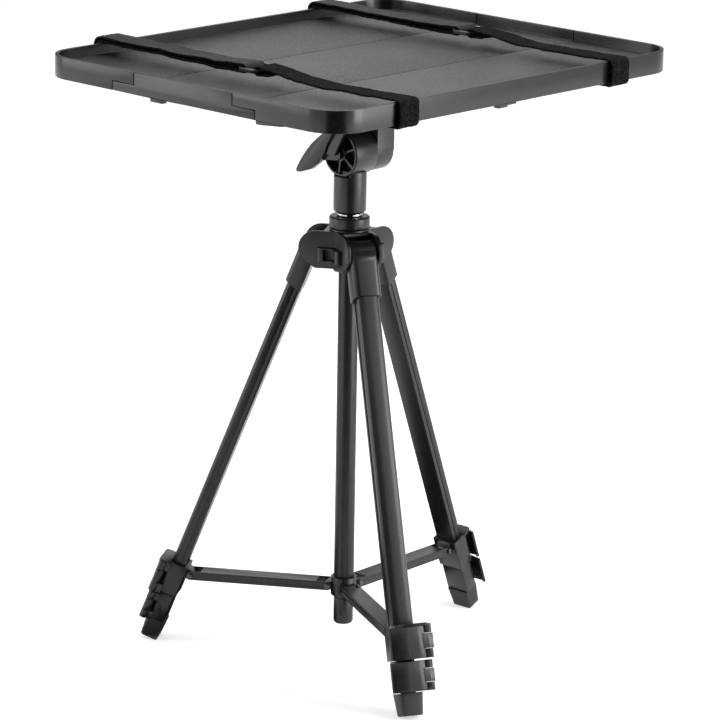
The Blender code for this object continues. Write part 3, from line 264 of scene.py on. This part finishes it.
def moulded_rubber(colour):
    """Moulded rubber foot: matt, with a dusty speckle."""
    speckle_size, speckle_depth = 1.2 * MM, 0.1 * MM
    mat, tree, shader, place = start_material("moulded_rubber")
    dust = add_node(tree, "ShaderNodeTexNoise", {"Vector": place, "Scale": 1 / speckle_size,
                                                 "Detail": 4.0})
    tree.links.new(two_tone(tree, dust.outputs["Fac"], "#141415", colour), shader.inputs["Base Color"])
    bump = add_node(tree, "ShaderNodeBump", {"Height": dust.outputs["Fac"], "Strength": 0.3,
                                             "Distance": speckle_depth})
    tree.links.new(bump.outputs["Normal"], shader.inputs["Normal"])
    shader.inputs["Roughness"].default_value = 0.58
    return mat


FINISHES = {}


def finish_of(name):
    """Make each material once and return it."""
    look = bpy.context.scene.table_colours
    makers = {
        "tray": lambda: grained_abs(look.tray),
        # The rim finish paints shade on the tray's walls
        "rim": lambda: satin_rim_abs_with_painted_shade(look.rim),
        "nylon": lambda: satin_nylon("glass_filled_nylon", look.moulding, 0.33),
        "lever": lambda: satin_nylon("gloss_moulded_nylon", look.moulding, 0.26),
        "tube": lambda: anodised_aluminium(look.tube),
        "pile": lambda: loop_pile(look.strap),
        "tape": lambda: woven_tape(look.tape),
        "chrome": polished_chrome,
        "steel": blackened_steel,
        "rubber": lambda: moulded_rubber(look.foot),
    }
    if name not in FINISHES:
        FINISHES[name] = makers[name]()
    return FINISHES[name]


# Mesh helpers

def finish_piece(name, bm, materials, body, nodes=(), smooth=35):
    """Turn a bmesh into a piece that rides on its body and stands for its CAD nodes."""
    mesh = bpy.data.meshes.new(name)
    bm.to_mesh(mesh)
    bm.free()
    for key in materials:
        mesh.materials.append(finish_of(key))
    mesh.shade_smooth()
    mesh.set_sharp_from_angle(angle=math.radians(smooth))
    piece = bpy.data.objects.new(name, mesh)
    bpy.context.scene.collection.objects.link(piece)
    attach(piece, body)
    if nodes:
        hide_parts(*nodes)
    return piece


def node_copy(node):
    """Return a bmesh of a CAD node with its loose triangles merged into whole faces."""
    merge_distance = 0.002 * MM
    flat_within = math.radians(0.6)
    bm = bmesh.new()
    bm.from_mesh(frame["nodes"][node].data)
    bm.transform(frame["nodes"][node].matrix_world)
    bmesh.ops.remove_doubles(bm, verts=bm.verts, dist=merge_distance)
    bmesh.ops.dissolve_limit(bm, angle_limit=flat_within, use_dissolve_boundaries=False,
                             verts=bm.verts, edges=bm.edges)
    return bm


def soften(bm, width, segments=2, angle=28):
    """Bevel every edge that is sharper than an angle in degrees."""
    limit = math.radians(angle)
    edges = [e for e in bm.edges if len(e.link_faces) == 2 and e.calc_face_angle(0) > limit]
    bmesh.ops.bevel(bm, geom=edges, offset=width, offset_type="OFFSET", segments=segments, profile=0.5,
                    affect="EDGES", clamp_overlap=True, material=-1)


def refine(node, key, body, width=0.35 * MM, segments=2, angle=28, smooth=35):
    """Replace a CAD node with a copy whose edges are rounded as moulded or dressed edges are."""
    bm = node_copy(node)
    soften(bm, width, segments, angle)
    finish_piece(f"{node}_finished", bm, [key], body, [node], smooth)


def cut_across(bm, point, direction):
    """Cut every face along one plane."""
    bmesh.ops.bisect_plane(bm, geom=bm.verts[:] + bm.edges[:] + bm.faces[:], plane_co=point,
                           plane_no=direction, dist=1e-7)


def ease(value, low, high):
    """Rise smoothly from 0 to 1 between two values."""
    t = min(1.0, max(0.0, (value - low) / (high - low)))
    return t * t * (3 - 2 * t)


def open_seams(bm, relief):
    """Draw the middle panel back from its neighbours at the seams, and its tongues downwards."""
    seam = -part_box("tray_left_panel")[1][0]
    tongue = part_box("tray_centre_panel")[1][0]
    near = 0.4 * MM
    lap_top = RIM_TOP - LAP_DROP - near
    for vert in bm.verts:
        side = math.copysign(1.0, vert.co.x)
        reach = abs(vert.co.x)
        if abs(reach - seam) < near or abs(reach - tongue) < near:
            vert.co.x -= side * relief
        if reach > seam + near and vert.co.z > lap_top:
            vert.co.z -= relief


# Straps

def arc(cx, cz, radius, start, end, steps):
    """Points along an arc in X and Z, angles in degrees."""
    turn = [math.radians(start + (end - start) * i / steps) for i in range(steps + 1)]
    return [Vector((cx + radius * math.cos(a), cz + radius * math.sin(a))) for a in turn]


def strap_route(size):
    """Middle line of a strap in X and Z, from its free tail to the end stitched on the ring.

    The tail hangs past the left rim, runs to the ring, turns back round its left bar and goes once
    round the tray, up to the ring's right bar.
    """
    half = size.strap_thickness / 2
    pitch = size.strap_thickness + size.strap_layer_gap
    top = RIM_TOP + size.strap_seat + half
    under = STRAP_LOW + half
    bend = size.strap_bulge + half
    side = HALF_W + size.strap_bulge + half
    loop = size.ring_bar / 2 + size.ring_loose + half
    ring_z = top - size.strap_sag + loop
    left = size.ring_x - size.ring_length / 2 + size.ring_bar / 2
    right = size.ring_x + size.ring_length / 2 - size.ring_bar / 2
    run = size.strap_lift_run
    sagging = top - size.strap_sag * 0.5
    upper_rise, lower_drop = 1.2 * MM, 0.3 * MM
    points = [Vector((-side - pitch, top - bend - size.strap_tail))]
    points += arc(-side + bend, top - bend, bend + pitch, 180, 90, 10)
    points.append(Vector((-HALF_W * 0.5, sagging + pitch)))
    points.append(Vector((left - run, ring_z - loop + pitch + upper_rise)))
    points += arc(left, ring_z, loop, 90, -90, 12)
    points.append(Vector((left - run, ring_z - loop - lower_drop)))
    points.append(Vector((-HALF_W * 0.5, sagging)))
    points += arc(-side + bend, top - bend, bend, 90, 180, 10)
    points += arc(-side + bend, under + bend, bend, 180, 270, 10)
    points += arc(side - bend, under + bend, bend, 270, 360, 10)
    points += arc(side - bend, top - bend, bend, 0, 90, 10)
    points.append(Vector((HALF_W * 0.72, top - size.strap_slack * 0.85)))
    points.append(Vector((HALF_W * 0.45, top - size.strap_slack)))
    points.append(Vector((right + run * 0.5, ring_z + loop * 0.5)))
    points += arc(right, ring_z, loop, 90, 270, 12)
    points.append(Vector((right + run * 0.4, top - size.strap_slack * 0.9)))
    return points


def even_points(points, step):
    """Points at even steps along a polyline."""
    out = [points[0].copy()]
    for a, b in zip(points, points[1:]):
        count = max(1, round((b - a).length / step))
        out.extend(a.lerp(b, k / count) for k in range(1, count + 1))
    return out


def ribbon(route, y_mid, width, across=14):
    """Sweep a line across the strap along a route, as a sheet without thickness."""
    bm = bmesh.new()
    start = [bm.verts.new((route[0].x, y_mid + width * (i / across - 0.5), route[0].y))
             for i in range(across + 1)]
    edges = [bm.edges.new(pair) for pair in zip(start, start[1:])]
    for here in route[1:]:
        made = bmesh.ops.extrude_edge_only(bm, edges=edges)["geom"]
        edges = [g for g in made if isinstance(g, bmesh.types.BMEdge)]
        for vert in {v for e in edges for v in e.verts}:
            vert.co.x = here.x
            vert.co.z = here.y
    bmesh.ops.recalc_face_normals(bm, faces=bm.faces)
    return bm


def rumple(bm, y_mid, size, seed):
    """Give the webbing the waves and the uneven edges of a used strap, away from rims and ring.

    The waves come about every 17 mm, the ruffles of the edge every 7 mm and the tufts every 2.4 mm.
    """
    calm = 9 * MM
    wave_length, wave_height = 17 * MM, 1.0 * MM
    ruffle_length, ruffle_depth = 7 * MM, 0.8 * MM
    tuft_size, tuft_height = 2.4 * MM, 0.42 * MM
    for vert in bm.verts:
        inside = ease(HALF_W - abs(vert.co.x), 0.5 * calm, 3 * calm)
        ring = ease(abs(vert.co.x - size.ring_x), size.ring_length * 0.6, size.ring_length * 1.6)
        above = ease(vert.co.z, RIM_TOP - 8 * MM, RIM_TOP - 6 * MM)
        side = (vert.co.y - y_mid) / (size.strap_width / 2)
        place = Vector((vert.co.x / wave_length, side * 0.6, seed))
        edge = Vector((vert.co.x / ruffle_length, side * 1.5, seed + vert.co.z / MM))
        vert.co.z += noise.noise(place) * wave_height * inside * ring * above
        vert.co.y += noise.noise(edge) * ruffle_depth * inside * ring * above * abs(side)
    bm.normal_update()
    for vert in bm.verts:
        tuft = noise.noise(vert.co / tuft_size + Vector((seed, 0, 0)))
        vert.co += vert.normal * tuft * tuft_height


def make_strap(number, y_mid, size):
    """Make one hook-and-loop strap, pile outwards, with its tail folded back through the ring."""
    step, wave_shift = 1.6 * MM, 3.7
    route = even_points(strap_route(size), step)
    bm = ribbon(route, y_mid, size.strap_width)
    rumple(bm, y_mid, size, wave_shift * number)
    under = min(bm.faces, key=lambda f: f.calc_center_median().z)
    if under.normal.z > 0:
        bmesh.ops.reverse_faces(bm, faces=bm.faces)
    piece = finish_piece(f"strap_{number}_webbing", bm, ["pile", "tape"], "tray",
                         [f"strap_{number}"], smooth=60)
    solid = piece.modifiers.new("thickness", "SOLIDIFY")
    solid.thickness = size.strap_thickness
    solid.offset = 0.0
    solid.material_offset = 1
    solid.material_offset_rim = 0
    edge = piece.modifiers.new("edge", "BEVEL")
    edge.width = size.strap_thickness * 0.35
    edge.segments = 2
    edge.limit_method = "ANGLE"
    edge.angle_limit = math.radians(50)


def make_ring(number, y_mid, size):
    """Make the moulded rectangular loop of a strap, with rounded bars."""
    play, rounding = 0.3 * MM, 0.7 * MM
    half = size.strap_thickness / 2
    loop = size.ring_bar / 2 + size.ring_loose + half
    z_mid = RIM_TOP + size.strap_seat + half - size.strap_sag + loop
    bm = bmesh.new()
    place = Matrix.LocRotScale(Vector((size.ring_x, y_mid, z_mid)), None,
                               Vector((size.ring_length, size.ring_width, size.ring_height)))
    bmesh.ops.create_cube(bm, size=1.0, matrix=place)
    upright = [e for e in bm.edges if abs(e.verts[0].co.z - e.verts[1].co.z) > 0.5 * MM]
    bmesh.ops.bevel(bm, geom=upright, offset=size.ring_bar * 0.8, segments=5, profile=0.5, affect="EDGES",
                    material=-1)
    caps = [f for f in bm.faces if abs(f.normal.z) > 0.9]
    side = (size.ring_width - size.strap_width) / 2 - play
    inner = bmesh.ops.inset_region(bm, faces=caps, thickness=min(side, size.ring_bar), depth=0.0)
    caps = [f for f in bm.faces if abs(f.normal.z) > 0.9 and f not in inner["faces"]]
    bmesh.ops.bridge_loops(bm, edges=list({e for f in caps for e in f.edges}))
    bmesh.ops.delete(bm, geom=caps, context="FACES_ONLY")
    bmesh.ops.recalc_face_normals(bm, faces=bm.faces)
    soften(bm, rounding, 3, 50)
    finish_piece(f"strap_ring_{number}_moulding", bm, ["lever"], "tray",
                 [f"strap_ring_{number}"])


# Settings

class TableColours(bpy.types.PropertyGroup):
    """Colours of the table, as sRGB hex values."""

    tray: bpy.props.StringProperty(name="Tray", description="Grained tray moulding", default="#2e2e2e")
    # Darker than the tray colour, as painted shade on the rim's walls
    rim: bpy.props.StringProperty(name="Rim", description="Satin faces of the tray's rim",
                                  default="#141414")
    moulding: bpy.props.StringProperty(name="Mouldings", description="Head, shoulder and clamps",
                                       default="#1a1a1a")
    tube: bpy.props.StringProperty(name="Tubes", description="Anodised leg and guide tubes",
                                   default="#454545")
    strap: bpy.props.StringProperty(name="Strap pile", description="Flecks of the loop pile",
                                    default="#2c2c2c")
    tape: bpy.props.StringProperty(name="Strap back", description="Woven back of the straps",
                                   default="#161616")
    foot: bpy.props.StringProperty(name="Feet", description="Rubber feet", default="#202020")


def length_property(name, description, millimetres):
    """Return a length property with its default in millimetres."""
    return bpy.props.FloatProperty(name=name, description=description, default=millimetres * MM,
                                   unit="LENGTH", subtype="DISTANCE", precision=5)


class TableSizes(bpy.types.PropertyGroup):
    """Sizes of the pieces that are modelled here."""

    seam_relief: length_property("Seam relief", "How far the middle panel draws back at its seams", 0.3)
    strap_width: length_property("Strap width", "Width of the webbing", 21.5)
    strap_shift: length_property("Strap shift", "Place of the webbing across its seat", -1.6)
    strap_thickness: length_property("Strap thickness", "Thickness of one layer", 1.8)
    strap_layer_gap: length_property("Layer gap", "Space between the doubled layers", 1.6)
    strap_seat: length_property("Seat", "Height of the strap over the rim", 0.4)
    strap_bulge: length_property("Bulge", "How far the strap stands off the rim", 3.0)
    strap_sag: length_property("Sag", "Sag of the doubled half between rim and ring", 1.8)
    strap_slack: length_property("Slack", "Sag of the single half", 1.2)
    strap_lift_run: length_property("Lift run", "Length over which the strap rises to the ring", 30.0)
    strap_tail: length_property("Tail", "Length of tail that hangs past the rim", 10.0)
    hub_rise: length_property("Hub rise", "How far the ribbed hub stands out towards the lever", 2.6)
    flap_crown: length_property("Flap crown", "How far a flap's face falls to its sides", 1.4)
    neck_radius: length_property("Neck radius", "Radius of the neck below the tilt hub", 13.7)
    wing_crown: length_property("Wing crown", "Height of the rounded back of the lever's wing", 3.0)
    ring_x: length_property("Ring place", "Place of the ring across the tray", 8.0)
    ring_length: length_property("Ring length", "Ring length along the strap", 19.0)
    ring_width: length_property("Ring width", "Ring width across the strap", 30.0)
    ring_bar: length_property("Ring bar", "Width of a ring bar", 3.0)
    ring_height: length_property("Ring height", "Height of the ring", 3.0)
    ring_loose: length_property("Ring play", "Play of the webbing round a bar", 0.7)
    camera_x: length_property("Camera X", "Place of the camera along X", 2089.9)
    camera_y: length_property("Camera Y", "Place of the camera along Y", -2213.7)
    camera_z: length_property("Camera Z", "Height of the camera", 1087.7)
    camera_lens: bpy.props.FloatProperty(name="Lens", description="Focal length in mm", default=188.1)
    camera_heading: bpy.props.FloatProperty(name="Heading", description="Heading of the camera",
                                            default=math.radians(43.31), subtype="ANGLE")
    camera_drop: bpy.props.FloatProperty(name="Drop", description="How far the camera looks down",
                                         default=math.radians(15.23), subtype="ANGLE")
    camera_roll: bpy.props.FloatProperty(name="Roll", description="Roll of the camera",
                                         default=math.radians(0.98), subtype="ANGLE")


# Operators

class TABLE_OT_tray(bpy.types.Operator):
    """Dress the three tray panels"""

    bl_idname = "table.tray"
    bl_label = "Tray"

    def execute(self, context):
        # Walls get the satin finish of the rim, whose darker colour is painted shade, and flat faces the
        # grain
        steepest_flat = 0.8
        for node in ("tray_centre_panel", "tray_left_panel", "tray_right_panel"):
            bm = node_copy(node)
            if node == "tray_centre_panel":
                open_seams(bm, context.scene.table_sizes.seam_relief)
            soften(bm, 0.5 * MM, 3)
            for face in bm.faces:
                face.material_index = int(abs(face.normal.z) < steepest_flat)
            finish_piece(f"{node}_finished", bm, ["tray", "rim"], "tray", [node])
        return {"FINISHED"}


class TABLE_OT_straps(bpy.types.Operator):
    """Make both straps and their rings"""

    bl_idname = "table.straps"
    bl_label = "Straps"

    def execute(self, context):
        size = context.scene.table_sizes
        for number in (1, 2):
            low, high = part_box(f"strap_{number}")
            y_mid = (low[1] + high[1]) / 2 + size.strap_shift
            make_strap(number, y_mid, size)
            make_ring(number, y_mid, size)
        return {"FINISHED"}


def raise_hub_rim(bm, rise):
    """Bring the ribbed face of the tilt hub out over the neck."""
    low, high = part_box("head_neck")
    radius = (high[2] - TILT.z) * 1.004
    band_middle, band_half = TILT.y - HUB_NEAR + 0.6 * MM, 0.7 * MM
    for vert in bm.verts:
        across = math.hypot(vert.co.x - (low[0] + high[0]) / 2, vert.co.z - TILT.z)
        if across < radius and abs(vert.co.y - band_middle) < band_half:
            vert.co.y -= rise


def make_neck_shoulder(size):
    """Carry the neck up behind the ribbed face, with a chamfered top, as one casting."""
    axis = joint("head_pan")["pos_m"]
    radius, chamfer = size.neck_radius, 1.6 * MM
    low, high = TILT.z - 22 * MM, TILT.z - 14.6 * MM
    back = TILT.y - HUB_NEAR + 0.4 * MM
    bm = bmesh.new()
    bmesh.ops.create_cone(bm, cap_ends=True, segments=64, radius1=radius, radius2=radius,
                          depth=high - low,
                          matrix=Matrix.Translation((axis[0], axis[1], (low + high) / 2)))
    rim = [e for e in bm.edges if min(v.co.z for v in e.verts) > high - 0.1 * MM]
    bmesh.ops.bevel(bm, geom=rim, offset=chamfer, segments=2, profile=0.5, affect="EDGES", material=-1)
    cut = bmesh.ops.bisect_plane(bm, geom=bm.verts[:] + bm.edges[:] + bm.faces[:], dist=1e-7,
                                 plane_co=(0, back, 0), plane_no=(0, -1, 0), clear_outer=True)
    cut_edges = [g for g in cut["geom_cut"] if isinstance(g, bmesh.types.BMEdge)]
    bmesh.ops.contextual_create(bm, geom=cut_edges)
    finish_piece("neck_shoulder", bm, ["nylon"], "head")


# Outlines of the tilt lever, in mm along X and Z from the tilt joint
WING = ((-0.3, 18.7), (-12, 16.8), (-20, 11), (-26.7, 5.7), (-32, -0.3), (-36.7, -7.2), (-40.3, -14),
        (-41.9, -17.8), (-40.3, -19.7), (-36, -19.2), (-25.4, -15.5), (-17, -8.8), (-11.5, -1),
        (-7, 8), (-4, 18.7))
BAR = ((-2.2, 18.8), (9.6, 18.4), (-0.5, -0.5), (-9, -0.5))
ARM = ((-17, -7.6), (-9, -5.6), (0.5, -4.6), (3.8, -2), (3.4, 2.4), (-9, 1.5))


def add_slab(bm, outline, near, far):
    """Add a plate with one of the lever's outlines, between two depths."""
    verts = [bm.verts.new((TILT.x + x * MM, near, TILT.z + z * MM)) for x, z in outline]
    face = bmesh.ops.contextual_create(bm, geom=verts)["faces"]
    grown = bmesh.ops.extrude_face_region(bm, geom=face)["geom"]
    moved = [g for g in grown if isinstance(g, bmesh.types.BMVert)]
    bmesh.ops.translate(bm, vec=(0, far - near, 0), verts=moved)
    bmesh.ops.recalc_face_normals(bm, faces=bm.faces[:])


def round_wing(bm, face, crown):
    """Cut the wing into strips along its length and round its near face from side to side.

    The crown is full at the tip and fades towards the upper end.
    """
    along, across = Vector((0.665, 0, 0.747)), Vector((-0.747, 0, 0.665))
    middle, half = 15.1 * MM, 8.7 * MM
    full_crown, least_crown = 4 * MM, 24 * MM
    for step in range(9):
        cut_across(bm, TILT + across * (middle + half * (step / 4 - 1) * 0.97), across)
    for vert in bm.verts:
        t = ((vert.co - TILT).dot(across) - middle) / half
        fade = ease((vert.co - TILT).dot(along), least_crown, full_crown)
        if vert.co.y < face + 0.1 * MM:
            vert.co.y += crown * (min(t * t, 1.0) * (0.35 + 0.65 * fade) - 0.6)


def make_lever(crown):
    """Build the tilt lever: a rounded wing, a flat bar, an arm and the bolt they turn on."""
    low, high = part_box("tilt_lever")
    face, back = low[1], low[1] + 4.2 * MM
    bolt_radius, bolt = 2.9 * MM, high[1] - back
    bm = bmesh.new()
    add_slab(bm, WING, face, back)
    round_wing(bm, face, crown)
    add_slab(bm, BAR, face + 1.2 * MM, back)
    add_slab(bm, ARM, back - 0.4 * MM, back + 2.4 * MM)
    bmesh.ops.create_cone(bm, cap_ends=True, segments=24, radius1=bolt_radius, radius2=bolt_radius,
                          depth=bolt, matrix=Matrix.Translation((TILT.x, back + bolt / 2, TILT.z))
                          @ Matrix.Rotation(math.radians(90), 4, "X"))
    finish_piece("tilt_lever_finished", bm, ["lever"], "tilt_lever", ["tilt_lever"],
                 smooth=48)


class TABLE_OT_head(bpy.types.Operator):
    """Dress the tilt head, its lever, the pan ring and the lock collar"""

    bl_idname = "table.head"
    bl_label = "Head"

    def execute(self, context):
        size = context.scene.table_sizes
        refine("tilt_plate", "nylon", "tray", 0.5 * MM, 3)
        bm = node_copy("head_neck")
        raise_hub_rim(bm, size.hub_rise)
        soften(bm, 0.3 * MM)
        finish_piece("head_neck_finished", bm, ["nylon"], "head", ["head_neck"])
        make_neck_shoulder(size)
        make_lever(size.wing_crown)
        refine("lock_collar", "nylon", "collar", 0.3 * MM, 3)
        refine("pan_ring", "chrome", "column", 0.2 * MM, 3)
        refine("centre_column", "tube", "column", 0.2 * MM, 2)
        return {"FINISHED"}


class TABLE_OT_shoulder(bpy.types.Operator):
    """Dress the shoulder, guide tube and end cap"""

    bl_idname = "table.shoulder"
    bl_label = "Shoulder"

    def execute(self, context):
        refine("shoulder", "nylon", "tripod", 0.5 * MM, 3)
        refine("guide_tube", "tube", "tripod", 0.15 * MM, 2)
        refine("guide_end_cap", "nylon", "tripod", 0.3 * MM, 2)
        return {"FINISHED"}


class TABLE_OT_spreader(bpy.types.Operator):
    """Dress the spreader hub, its struts and their pins"""

    bl_idname = "table.spreader"
    bl_label = "Spreader"

    def execute(self, context):
        refine("spreader_hub", "nylon", "spreader", 0.3 * MM, 2)
        for leg in LEGS:
            refine(f"strut_{leg}", "tube", f"strut_{leg}", 0.3 * MM, 2)
            refine(f"hub_pin_{leg}", "steel", "spreader", 0.2 * MM, 2)
            refine(f"bracket_pin_{leg}", "steel", f"leg_{leg}", 0.2 * MM, 2)
        return {"FINISHED"}


def leg_sides(leg):
    """Return the direction across a leg and the one out of its outer face."""
    down = Vector(joint(f"lower_slide_{leg}")["axis"])
    if down.z > 0:
        down = -down
    across = Vector((0, 0, 1)).cross(down).normalized()
    out = down.cross(across).normalized()
    return across, out if out.z > 0 else -out


def make_flap(node, leg, crown):
    """Copy a clamp flap and crown its face from side to side."""
    across, out = leg_sides(leg)
    strips, face_depth = 8, 2 * MM
    bm = node_copy(node)
    reach = [v.co.dot(across) for v in bm.verts]
    face = max(v.co.dot(out) for v in bm.verts)
    low, high = min(reach), max(reach)
    for step in range(1, strips):
        cut_across(bm, across * (low + (high - low) * step / strips), across)
    for vert in bm.verts:
        t = 2 * (vert.co.dot(across) - low) / (high - low) - 1
        if vert.co.dot(out) > face - face_depth:
            vert.co -= out * crown * t * t
    soften(bm, 0.35 * MM, 2, 34)
    finish_piece(f"{node}_finished", bm, ["lever"], node, [node])


class TABLE_OT_legs(bpy.types.Operator):
    """Dress the legs, their clamps, levers and feet"""

    bl_idname = "table.legs"
    bl_label = "Legs"

    def execute(self, context):
        for leg in LEGS:
            refine(f"leg_top_{leg}", "nylon", f"leg_{leg}", 0.4 * MM, 3)
            refine(f"upper_tube_{leg}", "tube", f"leg_{leg}", 0.15 * MM, 2)
            refine(f"upper_clamp_{leg}", "nylon", f"leg_{leg}", 0.35 * MM, 2)
            refine(f"middle_tube_{leg}", "tube", f"middle_{leg}", 0.15 * MM, 1)
            refine(f"lower_clamp_{leg}", "nylon", f"middle_{leg}", 0.35 * MM, 2)
            refine(f"lower_tube_{leg}", "tube", f"lower_{leg}", 0.15 * MM, 1)
            refine(f"foot_{leg}", "rubber", f"lower_{leg}", 0.6 * MM, 3)
            for flap in (f"upper_lever_{leg}", f"lower_lever_{leg}"):
                make_flap(flap, leg, context.scene.table_sizes.flap_crown)
        return {"FINISHED"}


# Stage

# Name, place, width, height and power of each lamp, in metres and watts; they face AIM
AIM = (0.0, 0.0, 0.35)
SOFTBOXES = (
    ("left_softbox", (-1.6, -1.7, 1.1), 1.3, 1.9, 20),
    ("right_softbox", (2.1, 0.86, 0.85), 1.15, 1.7, 42),
    ("top_softbox", (0.0, 0.4, 2.4), 1.6, 1.6, 30))

# Name of each black card, distance from the Z axis and height of its two long edges in metres, and
# its two ends in degrees round that axis, counted from the camera's side
FLAGS = (
    ("front_wall_flag", (3.9, 0.0), (3.9, 3.0), -23, 31),
    ("front_floor_flag", (0.40, 0.004), (3.9, 0.004), -23, 31),
    ("near_floor_flag", (0.30, 0.004), (0.45, 0.004), -80, -30),
    ("far_floor_flag", (0.02, 0.004), (0.22, 0.004), -200, -80),
    ("left_back_flag", (1.3, 0.62), (1.3, 1.5), 193, 240),
    ("right_back_flag", (1.3, 0.62), (1.3, 1.5), 120, 168))


def add_softbox(name, place, width, height, power):
    """Add an area lamp that faces AIM."""
    lamp = bpy.data.lights.new(name, "AREA")
    lamp.shape = "RECTANGLE"
    lamp.size = width
    lamp.size_y = height
    lamp.energy = power
    holder = bpy.data.objects.new(name, lamp)
    bpy.context.scene.collection.objects.link(holder)
    holder.location = place
    holder.rotation_euler = (Vector(AIM) - Vector(place)).to_track_quat("-Z", "Y").to_euler()


def add_stage(name, bm, mat):
    """Turn a bmesh into a stage object."""
    mesh = bpy.data.meshes.new(name)
    bm.to_mesh(mesh)
    bm.free()
    mesh.materials.append(mat)
    stage = bpy.data.objects.new(name, mesh)
    bpy.context.scene.collection.objects.link(stage)
    return stage


def add_flag(name, first, second, start, end, mat):
    """Sweep a straight edge round the Z axis to make a curved card that only reflections show."""
    bm = bmesh.new()
    ends = [bm.verts.new((distance, 0.0, height)) for distance, height in (first, second)]
    edge = bm.edges.new(ends)
    bmesh.ops.rotate(bm, verts=ends, cent=(0, 0, 0), matrix=Matrix.Rotation(math.radians(start), 3, "Z"))
    bmesh.ops.spin(bm, geom=ends + [edge], cent=(0, 0, 0), axis=(0, 0, 1), dvec=(0, 0, 0),
                   angle=math.radians(end - start), steps=12)
    card = add_stage(name, bm, mat)
    card.visible_camera = False
    card.visible_shadow = False
    card.visible_diffuse = False


def seen_directly(tree):
    """Return 1 for camera, mirror and see-through rays, and 0 for the rest."""
    path = add_node(tree, "ShaderNodeLightPath")
    seen = add_node(tree, "ShaderNodeMath", {0: path.outputs["Is Camera Ray"],
                                             1: path.outputs["Is Glossy Ray"]}, operation="MAXIMUM")
    seen = add_node(tree, "ShaderNodeMath", {0: seen.outputs[0],
                                             1: path.outputs["Is Transmission Ray"]}, operation="MAXIMUM")
    return seen.outputs[0]


def white_paper():
    """Matt white paper: it keeps the shadow, and it looks white to the camera and in reflections."""
    seen_glow = 0.5
    mat = bpy.data.materials.new("matt_white_paper")
    mat.use_nodes = True
    tree = mat.node_tree
    paper = tree.nodes["Principled BSDF"]
    paper.inputs["Base Color"].default_value = linear("#f4f4f4")
    paper.inputs["Roughness"].default_value = 0.9
    paper.inputs["Specular IOR Level"].default_value = 0.0
    glow = add_node(tree, "ShaderNodeMath", {0: seen_directly(tree), 1: seen_glow},
                    operation="MULTIPLY")
    light = add_node(tree, "ShaderNodeEmission", {"Strength": glow.outputs[0]})
    both = add_node(tree, "ShaderNodeAddShader", {0: paper.outputs[0], 1: light.outputs[0]})
    tree.links.new(both.outputs[0], tree.nodes["Material Output"].inputs["Surface"])
    return mat


def black_cloth():
    """Matt black cloth for the cards that the object mirrors as dark."""
    mat = bpy.data.materials.new("matt_black_cloth")
    mat.use_nodes = True
    cloth = mat.node_tree.nodes["Principled BSDF"]
    cloth.inputs["Base Color"].default_value = linear("#0a0a0a")
    cloth.inputs["Roughness"].default_value = 1.0
    cloth.inputs["Specular IOR Level"].default_value = 0.0
    return mat


def white_world():
    """White background; the light that it gives the object is lower."""
    light_level, white_level = 0.45, 1.0
    world = bpy.data.worlds.new("white_studio")
    world.use_nodes = True
    tree = world.node_tree
    level = add_node(tree, "ShaderNodeMapRange", {"Value": seen_directly(tree),
                                                  "To Min": light_level, "To Max": white_level})
    back = tree.nodes["Background"]
    back.inputs["Color"].default_value = (1.0, 1.0, 1.0, 1.0)
    tree.links.new(level.outputs[0], back.inputs["Strength"])
    return world


def add_camera(size):
    """Add a camera that looks as the photo's does."""
    camera = bpy.data.cameras.new("photo_camera")
    camera.lens = size.camera_lens
    camera.sensor_width = 36
    camera.clip_end = 50
    holder = bpy.data.objects.new("photo_camera", camera)
    bpy.context.scene.collection.objects.link(holder)
    turn = (Matrix.Rotation(size.camera_heading, 4, "Z")
            @ Matrix.Rotation(math.radians(90) - size.camera_drop, 4, "X")
            @ Matrix.Rotation(size.camera_roll, 4, "Z"))
    place = Vector((size.camera_x, size.camera_y, size.camera_z))
    holder.matrix_world = Matrix.Translation(place) @ turn
    return holder


class TABLE_OT_studio(bpy.types.Operator):
    """Set the floor, black cards, world, lamps and camera"""

    bl_idname = "table.studio"
    bl_label = "Studio"

    def execute(self, context):
        scene = context.scene
        size = scene.table_sizes
        floor_size = 14.0
        bm = bmesh.new()
        bmesh.ops.create_grid(bm, x_segments=1, y_segments=1, size=floor_size)
        add_stage("studio_floor", bm, white_paper())
        cloth = black_cloth()
        camera_side = math.degrees(math.atan2(size.camera_y, size.camera_x))
        for name, first, second, start, end in FLAGS:
            add_flag(name, first, second, camera_side + start, camera_side + end, cloth)
        scene.world = white_world()
        for softbox in SOFTBOXES:
            add_softbox(*softbox)
        scene.camera = add_camera(size)
        scene.view_settings.view_transform = "Standard"
        return {"FINISHED"}


class TABLE_PT_panel(bpy.types.Panel):
    """Sidebar panel with every piece's operator"""

    bl_label = "Projector Table"
    bl_idname = "TABLE_PT_panel"
    bl_space_type = "VIEW_3D"
    bl_region_type = "UI"
    bl_category = "Table"

    def draw(self, context):
        for operator in OPERATORS:
            self.layout.operator(operator.bl_idname)
        for key in TableColours.__annotations__:
            self.layout.prop(context.scene.table_colours, key)
        for key in TableSizes.__annotations__:
            self.layout.prop(context.scene.table_sizes, key)


OPERATORS = (TABLE_OT_tray, TABLE_OT_straps, TABLE_OT_head, TABLE_OT_shoulder, TABLE_OT_spreader,
             TABLE_OT_legs, TABLE_OT_studio)
CLASSES = (TableColours, TableSizes) + OPERATORS + (TABLE_PT_panel,)


def register():
    """Register the classes and the settings."""
    for cls in CLASSES:
        bpy.utils.register_class(cls)
    bpy.types.Scene.table_colours = bpy.props.PointerProperty(type=TableColours)
    bpy.types.Scene.table_sizes = bpy.props.PointerProperty(type=TableSizes)


def unregister():
    """Remove the settings and the classes."""
    del bpy.types.Scene.table_sizes
    del bpy.types.Scene.table_colours
    for cls in reversed(CLASSES):
        bpy.utils.unregister_class(cls)


def main():
    """Make every piece."""
    register()
    bpy.ops.table.tray()
    bpy.ops.table.straps()
    bpy.ops.table.head()
    bpy.ops.table.shoulder()
    bpy.ops.table.spreader()
    bpy.ops.table.legs()
    bpy.ops.table.studio()


if __name__ == "__main__":
    main()
